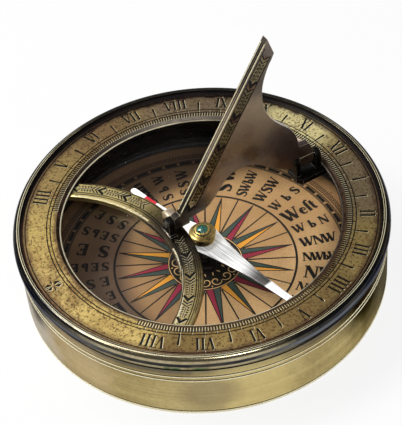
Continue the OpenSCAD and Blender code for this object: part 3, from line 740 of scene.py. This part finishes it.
def paper_look(tree):
    """Tan card: mottled, browner towards the edge, with painted light and shade across it and a
    painted shadow of the ring on one side.
    """
    at = place(tree)
    cloud = ramp(noise(at, 55.0, 4, 0.6), 0.3, 0.72)
    # Painted light and shade: two darker patches and two lighter ones across the card.
    colour = with_patches(mixed(cloud, (168, 135, 91), (150, 117, 76)),
        ((0, -23, 3), 34, (112, 86, 54), 0.75), ((24, 3, 3), 22, (204, 168, 118), 0.55),
        ((-4, 24, 3), 18, (136, 106, 66), 0.6), ((21, 32, 3), 16, (204, 168, 118), 0.5))
    fibre = ramp(noise(at, 1900.0, 3, 0.65), 0.35, 0.75, 0.0, 0.45)
    colour = mixed(fibre, colour, (126, 92, 64))
    colour = mixed(times(ramp(polar(at)[0], 36.0, 50.0), 0.35), colour, (132, 90, 52))
    # Painted shadow of the ring: dark outside a circle round a point off the centre.
    ring_shadow_distance = times(measure("DISTANCE", at, (0.0057, 0.0128, 0.0027)), 1000.0)
    return dict(Base_Color=mixed(ramp(ring_shadow_distance, 34.0, 40.5, 0.0, 0.74), colour, (48, 34, 30)),
        Roughness=ramp(fibre, 0.0, 0.45, 0.52, 0.7), Normal=bump(noise(at, 2400.0, 3, 0.6), 0.01))


def liner_look(tree):
    """Satin black with faint rings and greyed dust."""
    at = place(tree)
    marks = use(tree, "turning", Lines=3.0)["Marks"]
    dusty = times(ramp(noise(at, 900.0, 4), 0.55, 0.8), ramp(noise(at, 60.0), 0.4, 0.7), 0.25)
    return dict(Base_Color=mixed(dusty, (20, 20, 21), (92, 88, 80)), Normal=bump(marks, 0.006),
        Roughness=ramp(marks, 0.3, 0.7, 0.20, 0.34))


def stone_look(tree):
    """Green banded stone, polished."""
    veins = noise(place(tree), 900.0, 4, 0.6, 1.2)
    return dict(Base_Color=mixed(ramp(veins, 0.4, 0.62), (4, 26, 24), (34, 92, 78)),
        Roughness=ramp(veins, 0.3, 0.7, 0.12, 0.28))


def blended(tree, share, other):
    """Shows another shader in place of the main one, by a share."""
    both = add(tree, "MixShader", _0=share, _1=tree.nodes["Principled BSDF"].outputs[0],
        _2=other.outputs[0])
    feed(tree.nodes["Material Output"].inputs, Surface=both.outputs[0])


def glass_look(tree):
    """Clear glass that lets the lamps through, with a faint film of dust."""
    blended(tree, add(tree, "LightPath").outputs["Is Shadow Ray"],
        add(tree, "BsdfTransparent", _0=(0.97, 0.97, 0.96, 1)))
    film = ramp(noise(place(tree), 120.0), 0.45, 0.75)
    return dict(Base_Color=mixed(film, (255, 255, 255), (248, 249, 247)))


def dust_look(tree):
    return dict(Base_Color=mixed(noise(place(tree), 500.0, 2), (235, 235, 230), (200, 198, 190)))


def floor_look(tree):
    """White that glows a little where it is seen, and still takes the shadow."""
    rays = add(tree, "LightPath").outputs
    seen = calc("MAXIMUM", calc("MAXIMUM", rays["Is Camera Ray"], rays["Is Glossy Ray"]),
        rays["Is Transmission Ray"])
    white = mixed(noise(place(tree), 30.0, 2), (0.99, 0.99, 0.99, 1), (1, 1, 1, 1))
    blended(tree, times(seen, 0.86), add(tree, "Emission", Color=white, Strength=1.0))
    return dict(Base_Color=(0.94, 0.94, 0.94, 1))


# ---- camera and light

def set_camera():
    """The view of the photograph, solved from the circles of the rim, the dial and the card."""
    ahead = Vector((-0.62009, 0.31355, -0.71915)).normalized()
    right = ahead.cross(Vector((0, 0, 1))).normalized()
    up = right.cross(ahead)
    roll = radians(-5.782)
    right, up = (right * cos(roll) + up * sin(roll), up * cos(roll) - right * sin(roll))
    camera = linked("view", bpy.data.cameras.new("view"))
    camera.data.lens = 131.02
    camera.data.sensor_width = 36
    camera.data.clip_start, camera.data.clip_end = 0.01, 20
    turn = Matrix((right, up, -ahead)).transposed().to_4x4()
    camera.matrix_world = Matrix.Translation((0.273389, -0.138059, 0.340892)) @ turn
    bpy.context.scene.camera = camera


def set_stage():
    """A plain white floor that keeps the shadow, and a soft studio of four square lamps."""
    bpy.ops.object.select_all(action="DESELECT")
    bpy.ops.mesh.primitive_circle_add(vertices=96, radius=2.5, fill_type="NGON")
    floor = bpy.context.object
    floor.name = "studio_floor"
    white = material("floor_white", floor_look, Roughness=0.9, Specular_IOR_Level=0.0)
    dressed(floor, white)
    world = bpy.data.worlds.new("studio")
    bpy.context.scene.world = world
    world.use_nodes = True
    feed(world.node_tree.nodes["Background"].inputs, Color=(0.13, 0.13, 0.135, 1), Strength=1.0)
    for name, where, size, watts in (("left", (-0.402, -0.362, 0.719), 0.24, 3.0),
            ("front", (-0.220, -0.494, 0.719), 0.24, 1.8),
            ("back", (-0.462, -0.082, 0.883), 0.32, 2.4),
            ("right", (0.500, -0.120, 0.720), 0.24, 2.0)):
        lamp = linked("softbox_" + name, bpy.data.lights.new("softbox_" + name, "AREA"))
        lamp.data.shape = "RECTANGLE"
        lamp.data.size = lamp.data.size_y = size
        lamp.data.energy = watts
        lamp.location = where
        aim = Vector((0, 0, 0.015)) - Vector(where)
        lamp.rotation_euler = aim.to_track_quat("-Z", "Y").to_euler()
    bpy.context.scene.view_settings.view_transform = "Standard"


# ---- case and rim

def make_case():
    """Turned bowl with a pair of lines near its top and one near its base."""
    groove = [(0, -0.5), (0.13, -0.2), (0.22, -0.1), (0.22, 0.1), (0.05, 0.2), (0, 0.26)]
    side = arc(CASE_R - 0.7, 0.7, 0.7, 0.7, -90, 0, 6)
    side += [(CASE_R - depth, z + up) for z in CASE_LINES for depth, up in groove]
    side += arc(CASE_R - 0.25, CASE_H - 0.25, 0.25, 0.25, 0, 90, 4)
    inside = [(BORE_R, CASE_H), (BORE_R, BORE_Z), (BOWL_R, BORE_Z), (BOWL_R, FLOOR_Z), (0, FLOOR_Z),
        (0, 0)]

    def rule(x, y, z, r, slope):
        if CASE_R - 0.3 < r < CASE_R - 0.10 and z > 1 or z > CASE_H - 0.24:
            return 1
        # Painted highlights: the upward walls of the grooves and a band round the foot.
        lit = r > CASE_R - 0.13 and slope > 0.3 and z < CASE_H - 1
        return 2 if lit or 52 < r and 0.05 < z < 0.95 else 0

    bowl = turned("case_bowl", side + inside)
    satin = material("case_brass_aged_lit_and_shaded", case_look, Specular_IOR_Level=0.0,
        Specular_Tint=(0.45, 0.42, 0.36, 1))
    dressed(bowl, satin, ENGRAVED, BRIGHT_EDGE, rule=rule)
    fitted(bowl, "case", "case_brass", "case_shell")


def make_rim():
    """Rim with its bead, two fine lines on the crest and the cove down to the dial."""
    low = CASE_H + SEAM
    crest_r = RIM_R - BEAD_W
    outline = arc(crest_r, (low + CREST_Z) / 2, BEAD_W, (CREST_Z - low) / 2, -72, 84, 26)
    outline += [(r, CREST_Z - drop) for r, drop in ((52.80, 0), (52.68, 0), (52.46, 0),
        (52.40, 0.15), (52.19, 0.15), (52.12, 0.03), (51.97, 0.05), (51.92, 0.2))]
    outline += [(RING_OUT + 0.10 + 0.84 * sin(a), CREST_Z - 0.24 - 0.96 * cos(a))
        for a in (radians(80 - 10 * k) for k in range(9))]
    outline += [(RING_OUT + 0.02, FACE_Z), (RING_OUT + 0.02, UNDER_Z), (LEDGE_R, UNDER_Z),
        (LEDGE_R, FOOT_Z), (PLUG_IN, FOOT_Z), (PLUG_IN, PLUG_Z), (PLUG_OUT, PLUG_Z),
        (PLUG_OUT, low), (crest_r + 0.36, low)]

    # The crest's flats and a thin line above the seam take the painted highlight; the fine groove
    # and the foot of the bead are dark.
    def rule(x, y, z, r, slope):
        if z > CREST_Z - 0.01 and r < 52.68 or z > CREST_Z - 0.06 and r < 52.14:
            return 1
        if 52.15 < r < 52.48 and z > CREST_Z - 0.16 or r > crest_r and z < CASE_H + 0.3:
            return 2
        return 1 if r > crest_r and z < CASE_H + 0.62 else 0

    polished = material("rim_brass_aged_and_shaded", rim_look, Specular_IOR_Level=0.12,
        Specular_Tint=(0.3, 0.3, 0.33, 1))
    rim = dressed(turned("rim", outline, 288), polished, CREST, ENGRAVED, rule=rule)
    fitted(rim, "dial", "rim_brass", "rim_bezel")


# ---- dial

def dial_marks():
    """Everything cut into the dial with a straight tool, in layers that don't cross."""
    foot_r, ladder_r = 44.32, 41.62
    marks = []
    stations = [(-k, word) for k, word in enumerate("XII I II III IIII V VI VII VIII".split())]
    stations += [(k + 1, word) for k, word in enumerate("XI X IX VIII VII VI V IIII".split())]
    for k, word in stations:
        outlines, width = lettering(word, 4.15, 1.12)
        marks += placed(outlines, standing(90 + HOUR * k, 45.3, width / 2))
        marks += laid(standing(90 + HOUR * k, foot_r), stroke([(0, 0), (0, 0.75)], 0.16),
            stroke([(0, 5.2), (0, 5.95)], 0.16))
    for k in range(-8, 8):
        marks += laid(standing(90 + HOUR * (k + 0.5), foot_r),
            stroke([(0, -0.1), (0, 1.6), (0, 3.0), (0, 3.6)], [0.42, 0.5, 0.66, 0.4]))
    first, last = 90 - HOUR * 8 - 7.5, 90 + HOUR * 8 + 7.2
    for k in range(int((last - first) / (HOUR / 4)) + 1):
        marks += laid(standing(90 + HOUR * (-8 - 0.25 + k * 0.25), 43.3),
            stroke([(0, 0), (0, 0.8)], 0.24))
    rung = HOUR / 16
    for k in range(int((last - first) / rung) + 1):
        marks += laid(standing(first + rung * k, ladder_r), stroke([(0, 0), (0, 1.42)], 0.4))
    for side in (1, -1):
        petals = [stroke([(0.2 * x, side * 0.45), (0.8 * x, side * 1.25), (0.55 * x, side * 2.3)],
            [0.25, 0.8, 0.3]) for x in (1, -1)]
        petals.append(stroke([(side * 0.5, 0), (side * 1.3, 0), (side * 1.9, 0)], [0.2, 0.5, 0.24]))
        marks += laid(standing(270, 47.5), *petals, oval(0, side * 1.9, 0.16, 0.5))
    return layers(marks)


def make_dial():
    """Dial ring turned with its round lines, then engraved."""
    outline = [(RING_IN, UNDER_Z), (RING_OUT, UNDER_Z), (RING_OUT, FACE_Z)]
    for r, width in ((50.36, 0.3), (44.2, 0.32), (43.2, 0.32)):
        outline += [(r + width * share, FACE_Z - depth)
            for share, depth in ((0.5, 0), (0.25, 0.16), (-0.25, 0.16), (-0.5, 0))]
    outline += [(41.5, FACE_Z), (41.4, FACE_Z - 0.06)]
    outline += [(RING_IN + r, FACE_Z - drop) for r, drop in ((0.45, 0.62), (0.36, 0.76),
        (0.06, 0.84), (0, 0.94))]

    # The inner wall is dark as painted shade, the lip takes the painted highlight, and the bevel is
    # dark brown.
    def rule(x, y, z, r, slope):
        if 42 < r < RING_OUT - 0.1 and FACE_Z - 0.3 < z < FACE_Z - 0.01 or r < RING_IN + 0.02:
            return 1
        if r < RING_IN + 0.35 and z > FACE_Z - 0.9:
            return 2
        return 3 if r < 41.5 and z > UNDER_Z + 0.1 else 0

    ring = turned("dial_ring", outline, 288)
    dressed(ring, material("dial_brass_aged_lit_and_shaded", dial_look), ENGRAVED, LIP, SHADE, rule=rule)
    marks = dial_marks()
    # Painted highlight: a shallow bright copy of the marks' first layer, set to one side.
    cut(ring, BRIGHT_EDGE, graver(shifted(marks[0], 0.2, 0.06), FACE_Z, 0.04))
    cut(ring, ENGRAVED, *[graver(loops, FACE_Z, 0.2 - 0.015 * k) for k, loops in enumerate(marks)])
    fitted(shaded(ring, 25), "dial", "dial_brass", "hour_ring")


# ---- bridge and gnomon

def leaf(length, half, ground):
    """One leaf of the engraved border, its point at (0, 0) and its body along +x: dark cuts,
    and the outline of the bright body."""
    marks = [stroke([(1.3, half), (-0.4, 0), (1.3, -half)], ground),
        stroke([(0.5 + ground, 0), (0.62 * length, 0)], 0.2)]
    first = 0.9 + ground
    pitch = (0.63 * length - first) / 4
    for k in range(5):
        offset, height = (0.42, 0.16) if k == 0 else (0.5, 0.26)
        marks += [oval(first + pitch * k, side * half * offset, pitch * 0.3, half * height,
            20 * side) for side in (1, -1)]
    for apex, width in ((0.68 * length, 0.34), (0.81 * length, 0.4)):
        marks.append(stroke([(apex + 1.1, half), (apex, 0), (apex + 1.1, -half)], width))
    edge, end = half + 0.05, 0.81 * length
    return marks, [(0.25, 0.0), (1.7, edge), (end + 1.2, edge), (end + 0.1, 0.0),
        (end + 1.2, -edge), (1.7, -edge)]


def between(value, points):
    """Straight-line reading of a short table of (place, value)."""
    for (a, u), (b, v) in zip(points, points[1:]):
        if value <= b:
            return u + (v - u) * max(value - a, 0) / (b - a)
    return points[-1][1]


def make_bridge():
    """Crescent strap with engraved leaves that point to the ring from both sides."""
    # Its edges are circles with their middles below the centre of the dial, and it ends under
    # the ring at the reach. The upper edge is drawn in a little on the afternoon side.
    far_c, far_r, near_c, near_r, reach = 47.4, 41.5, 50.35, 37.8, 46.8
    drawn_c, drawn_r = far_c - 1.5, far_r - 1.5

    def edge(c, r):
        meet = asin((r * r - c * c - reach * reach) / (2 * c * reach))
        end = degrees(atan2(reach * sin(meet) + c, reach * cos(meet)))
        return arc(0, -c, r, r, end, 180 - end, 90), degrees(meet)

    (far, far_end), (near, near_end) = edge(far_c, far_r), edge(near_c, near_r)
    outline = [(x, y) if x < 0 else (drawn_r * sin(acos(min((y + drawn_c) / drawn_r, 1))), y)
        for x, y in far]
    outline += arc(0, 0, -reach, reach, far_end, near_end, 6)[1:-1] + near[::-1]
    outline += arc(0, 0, reach, reach, near_end, far_end, 6)[1:-1]
    strap = dressed(prisms("bridge_strap", [outline], FOOT_Z, UNDER_Z), BRIDGE, ENGRAVED,
        BRIGHT_EDGE)
    softened(strap, 0.3, 50)
    # Painted highlight on the bevel of the inner edge.
    dressed(strap, rule=lambda x, y, z, r, slope: 2 if 0.2 < slope < 0.95 and abs(x) > 5 and
        hypot(x, y + near_c) < near_r + 0.5 else 0)

    # The engraving runs along a line at these radii round a point of its own, by degrees
    centre, middle = 48.9, [(38, 38.4), (64, 39.0), (108, 40.75), (142, 40.5)]
    half, marks = 1.6, []

    def on_strap(tip, way):
        def where(u, v):
            turn = tip + way * degrees(u / 39.6)
            x, y = outward(turn)(between(turn, middle) + v, 0)
            return x, y - centre
        return where

    for tip, way in ((40.0, 1), (51.9, 1), (64.0, 1), (75.6, 1), (142.8, -1), (131.3, -1),
            (120.0, -1)):
        marks += laid(on_strap(tip, way), *leaf(8.0, half - 0.2, 0.78)[0])
    for start, end, offset, width in ((37, 145, half + 0.16, 0.3), (37, 145, -half - 0.16, 0.3),
            (37, 88, half + 0.8, 0.26), (45, 80, half + 1.3, 0.22), (37, 92, -half - 0.62, 0.24),
            (93, 144, -half - 0.85, 0.3), (93, 144, half + 0.8, 0.2)):
        count = int((end - start) / 1.5)
        path = [on_strap(start + (end - start) * k / count, 1)(0, offset) for k in range(count + 1)]
        marks.append((1, stroke(path, width)))
    marks = layers(marks)
    # Painted highlights: bright lines along the inner edge and a bright copy of the leaves set to
    # one side.
    edges = [stroke(arc(0, -near_c, near_r + 0.5, near_r + 0.5, start, end, 30), 0.5)
        for start, end in ((40, 82), (102, 139))]
    cut(strap, BRIGHT_EDGE, graver(shifted(marks[0], 0.16, -0.02), UNDER_Z, 0.03),
        graver(edges, UNDER_Z, 0.02))
    cut(strap, ENGRAVED, *[graver(loops, UNDER_Z, 0.16) for loops in marks])
    fitted(shaded(strap, 25), "dial", "dial_brass", "arch_bridge")


def make_gnomon():
    """Folding plate with leaves in its border on both sides and two lines along the style."""
    plate = dressed(like_node("gnomon", "gnomon_plate"), GNOMON)
    softened(plate, 0.13, 40, 1, BRIGHT_EDGE)
    dressed(plate, ENGRAVED, OLD_LEAF)
    c, s = cos(STYLE_ANGLE), sin(STYLE_ANGLE)
    along, across = Vector((0, c, s)), Vector((0, s, -c))
    start = Matrix.Translation(Vector((0, *STYLE_LOW)) * MM)
    middle, half = 2.3, 1.45
    marks, bodies = [], []
    for tip in (2.4, 12.7, 23.1, 33.5, 43.9):
        dark, body = leaf(10.2, half - 0.15, 1.0)
        marks += laid(lambda u, v: (tip + u, middle + v), *dark)
        bodies += shifted([body], tip, middle)
    marks = [(k, loop) for k, loop in marks if max(x for x, y in loop) < 55.5]
    for t, end in ((middle - half - 0.17, 55.4), (middle + half + 0.17, 53.4)):
        marks.append((1, stroke([(2.2, t), (end, t)], 0.32)))
    ground = stroke([(2.6, middle), (53.2, middle)], 2 * half + 0.1)

    cuts = []
    for side in (1, -1):
        turn = Matrix((along, -side * across, Vector((side, 0, 0)))).transposed().to_4x4()
        for finish, depth, loops in [(SHADE, 0.02, [ground]), (OLD_LEAF, 0.04, bodies)] + [
                (ENGRAVED, 0.10 - 0.015 * k, loops) for k, loops in enumerate(layers(marks))]:
            loops = [[(x, -side * y) for x, y in loop] for loop in loops]
            cuts.append((finish, graver(loops, BAND_X, depth), turn))
    turn = Matrix((along, Vector((-1, 0, 0)), -across)).transposed().to_4x4()
    # The bright pair of lines along the style is a painted highlight; the dark pair is engraved.
    for finish, depth, width, lines in ((BRIGHT_EDGE, 0.04, 0.36, (0.80, -0.86)),
            (ENGRAVED, 0.10, 0.24, (0.40, -0.44))):
        loops = [stroke([(1.0, y), (56.6, y)], width) for y in lines]
        cuts.append((finish, graver(loops, 0, depth), turn))
    # The dark cuts come last
    for finish, tool, turn in sorted(cuts, key=lambda row: row[0] is ENGRAVED):
        tool.data.transform(start @ turn)
        cut(plate, finish, tool)
    fitted(shaded(cleaned(plate, 1e-6), 25), "gnomon", "gnomon_brass", "gnomon_plate")


# ---- card and needle

def rose_marks():
    """The 32-point rose: kites in two tones, thin lines between them, and their dark edges."""
    root, tip, line_low, line_high = 11.3, 26.3, 12.0, 26.58
    halves, lines, edges = {"green": [], "orange": [], "crimson": []}, [], []
    for k in range(16):
        at = NORTH + 22.5 * k
        point, waist = outward(at)(tip, 0), outward(at)(root - 0.2, 0)
        left, right = outward(at + 10.9)(root, 0), outward(at - 10.9)(root, 0)
        halves["green"].append([point, waist, left])
        halves["orange" if k % 2 == 0 else "crimson"].append([point, right, waist])
        edges += [(3 + i, stroke([point, end], 0.3)) for i, end in enumerate((left, waist, right))]
        lines.append([outward(at + 11.25)(*spot) for spot in ((line_low, -0.26), (line_high, -0.2),
            (line_high, 0.2), (line_low, 0.26))])
    return halves, lines, edges


def scrolls():
    """Traditional curled leaves round the middle of the card, in mirrored pairs."""
    marks = []
    for k in range(8):
        for side in (1, -1):
            curl, widths = [], []
            for t in (i / 14 for i in range(15)):
                reach, turn = 1.55 * (1 - t) ** 0.8 + 0.22, radians(-70 + 400 * t)
                curl.append((8.15 + reach * cos(turn), side * (1.75 + reach * sin(turn))))
                widths.append(0.12 + 0.2 * sin(pi * t))
            marks += laid(outward(NORTH + 45 * k), stroke(curl, widths),
                oval(5.35, side * 0.95, 0.62, 0.17, 28 * side))
        marks += laid(outward(NORTH + 45 * k + 22.5), oval(10.05, 0, 0.34, 0.16))
    return layers(marks)[0]


def border_marks():
    """The outer rings of the card: a chain of bars and beads, a row of dots and degree lines."""
    marks = [(0, loop) for loop in bands(*[(r - 0.12, r + 0.12)
        for r in (41.4, 43.45, 44.3, 45.45, 49.1)], (41.62, 41.82), (42.98, 43.18))]
    for k in range(56):
        at = NORTH + 360 / 56 * k
        bar = [outward(at + turn)(42.4, 0) for turn in (-2.6, -1.3, 0, 1.3, 2.6)]
        marks.append((0, stroke(bar, 0.98)))
    for k in range(360):
        reach = 46.7 if k % 10 == 0 else 46.3 if k % 5 == 0 else 46.0
        marks += laid(outward(NORTH + k), oval(44.87, 0, 0.29, 0.27, count=8),
            stroke([(45.62, 0), (reach, 0)], 0.16))
    return marks


def make_card():
    """Printing on the card, in thin coats of ink."""
    halves, lines, edges = rose_marks()
    for tone, finish in (("green", INK_GREEN), ("orange", INK_YELLOW), ("crimson", INK_RED)):
        coat = prisms("rose_" + tone, halves[tone], CARD_Z, CARD_Z + 0.012)
        fitted(dressed(coat, finish), "case", "printed_card")
    gold = prisms("card_scrolls", scrolls() + bands((10.75, 10.95)), CARD_Z + 0.010, CARD_Z + 0.024)
    fitted(dressed(gold, INK_GOLD), "case", "printed_card")
    marks = [(0, loop) for loop in lines + bands((26.6, 27.28)) + [circle(11.35)]]
    marks += border_marks() + edges
    names = ("North NbE NNE NEbN NE NEbE ENE EbN Eaft EbS ESE SEbE SE SEbS SSE SbE "
        "South SbW SSW SWbS SW SWbW WSW WbS Weft WbN WNW NWbW NW NWbN NNW NbW")
    widest = 11.6
    sizes = {0: (4.6, 11.7), 2: (3.5, 11.2), 4: (4.5, 10.0), 6: (3.5, 11.2)}
    for k, name in enumerate(names.split()):
        height, spread = sizes.get(k % 8, (3.2, widest))
        outlines, _ = lettering(name, height, 1.55, spread, 1.08)
        where = outward(NORTH - 11.25 * k, 28.5 + (widest - spread) / 2, height / 2)
        marks += placed(outlines, where)
    coats = [prisms("coat", loops, CARD_Z, CARD_Z + 0.010 + 0.002 * k)
        for k, loops in enumerate(layers(marks))]
    ink = pick(coats[0])
    for coat in coats:
        coat.select_set(True)
    bpy.ops.object.join()
    ink.name = ink.data.name = "card_print"
    fitted(dressed(ink, INK_BLACK), "case", "printed_card")


def make_needle():
    """Needle with its edges broken, the turned cap and the round stone."""
    blade = softened(like_node("needle", "needle_blade"), 0.1)
    steel = material("needle_steel_painted", needle_look)
    # Painted shade: the blade's side walls are dark.
    dressed(blade, steel, DARK, rule=lambda x, y, z, r, slope: int(abs(slope) < 0.3))
    fitted(blade, "needle", "needle_steel", "needle_blade")
    side = [(2.2, 0), (3.3, 0)] + arc(3.25, 0.36, 0.3, 0.36, -80, 90, 6) + [(3.0, 0.8)]
    side += arc(2.98, 1.26, 0.4, 0.4, -70, 80, 7) + [(2.9, 1.76), (3.2, 2.2)]
    side += arc(3.56, 2.6, 0.36, 0.26, -70, 70, 7) + [(3.46, 2.88), (3.0, 3.1), (2.56, 3.36),
        (2.44, 3.4), (2.36, 3.32)]
    side = [(r, BLADE_TOP + z) for r, z in side]
    side += arc(2.1, CAP_TOP - 0.25, 0.2, 0.25, -60, 90, 5)
    side += [(1.72, CAP_TOP - 0.02), (1.6, STONE_Z), (0.0, STONE_Z), (0.0, STONE_Z - 0.75),
        (0.16, STONE_Z - 0.75), (1.6, BLADE_Z - 0.5), (2.65, BLADE_Z - 0.5), (2.65, BLADE_Z),
        (2.2, BLADE_Z)]
    grooves = ((2.34, 3.38), (3.06, 0.8), (2.95, 1.76), (3.05, 1.98))
    cap = dressed(turned("cap", side, 96), CAP, ENGRAVED,
        rule=lambda x, y, z, r, slope: int(any(
            hypot(r - at_r, z - BLADE_TOP - at_z) < 0.13 for at_r, at_z in grooves)))
    fitted(cap, "needle", "cap_brass", "needle_cap")
    dome = [(0, STONE_Z), (1.58, STONE_Z), (1.58, CAP_TOP - 0.05)]
    dome += arc(0, CAP_TOP - 0.05, 1.56, STONE_TOP - CAP_TOP + 0.05, 8, 90, 9)
    green = material("stone_green", stone_look, Coat_Weight=0.8, Coat_Roughness=0.06, IOR=1.6)
    fitted(dressed(turned("stone", dome, 64), green), "needle", "green_stone", "cap_stone")


def make_dust():
    """Specks on the glass."""
    chance = random.Random(7)
    marks = []
    for _ in range(70):
        r, angle = 47 * sqrt(chance.random()), 360 * chance.random()
        size = 0.05 + 0.10 * chance.random() ** 3
        marks += laid(outward(angle), oval(r, 0, size, size * 0.8, count=6))
    specks = prisms("glass_dust", layers(marks)[0], GLASS_Z, GLASS_Z + 0.02)
    fitted(dressed(specks, material("glass_dust", dust_look, Roughness=0.8)), "case", "clear_glass")


for make in (make_case, make_rim, make_dial, make_bridge, make_gnomon, make_card, make_needle):
    make()

for node, name, slot, finish, worn, width in (
        ("toe_lug", "lug", "dark_brass", DARK, DARK_EDGE, 0.16),
        ("xii_bracket", "bracket", "dark_brass", DARK, DARK_EDGE, 0.16),
        ("stop_tab", "tab", "dial_brass", TAB, BRIGHT_EDGE, 0.2)):
    piece = dressed(like_node(name, node), finish)
    fitted(softened(piece, width, worn=worn), "dial", slot, node)

PAPER = material("card_paper_lit_and_shaded", paper_look, Specular_IOR_Level=0.2)
LINER = material("liner_black", liner_look)
GLASS = material("cover_glass", glass_look, Transmission_Weight=1.0, IOR=1.22, Roughness=0.0)
for finish, nodes in ((PLAIN, "card_plate ring_screws"), (PAPER, "compass_card"), (GLASS, "glass"),
        (LINER, "bowl_liner"), (DARK, "card_boss glass_keeper"),
        (STEEL, "pivot_post snap_ring toe_pin xii_pin")):
    for node in nodes.split():
        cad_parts[node].material_slots[0].material = finish

make_dust()
set_camera()
set_stage()

bpy.ops.object.select_all(action="DESELECT")
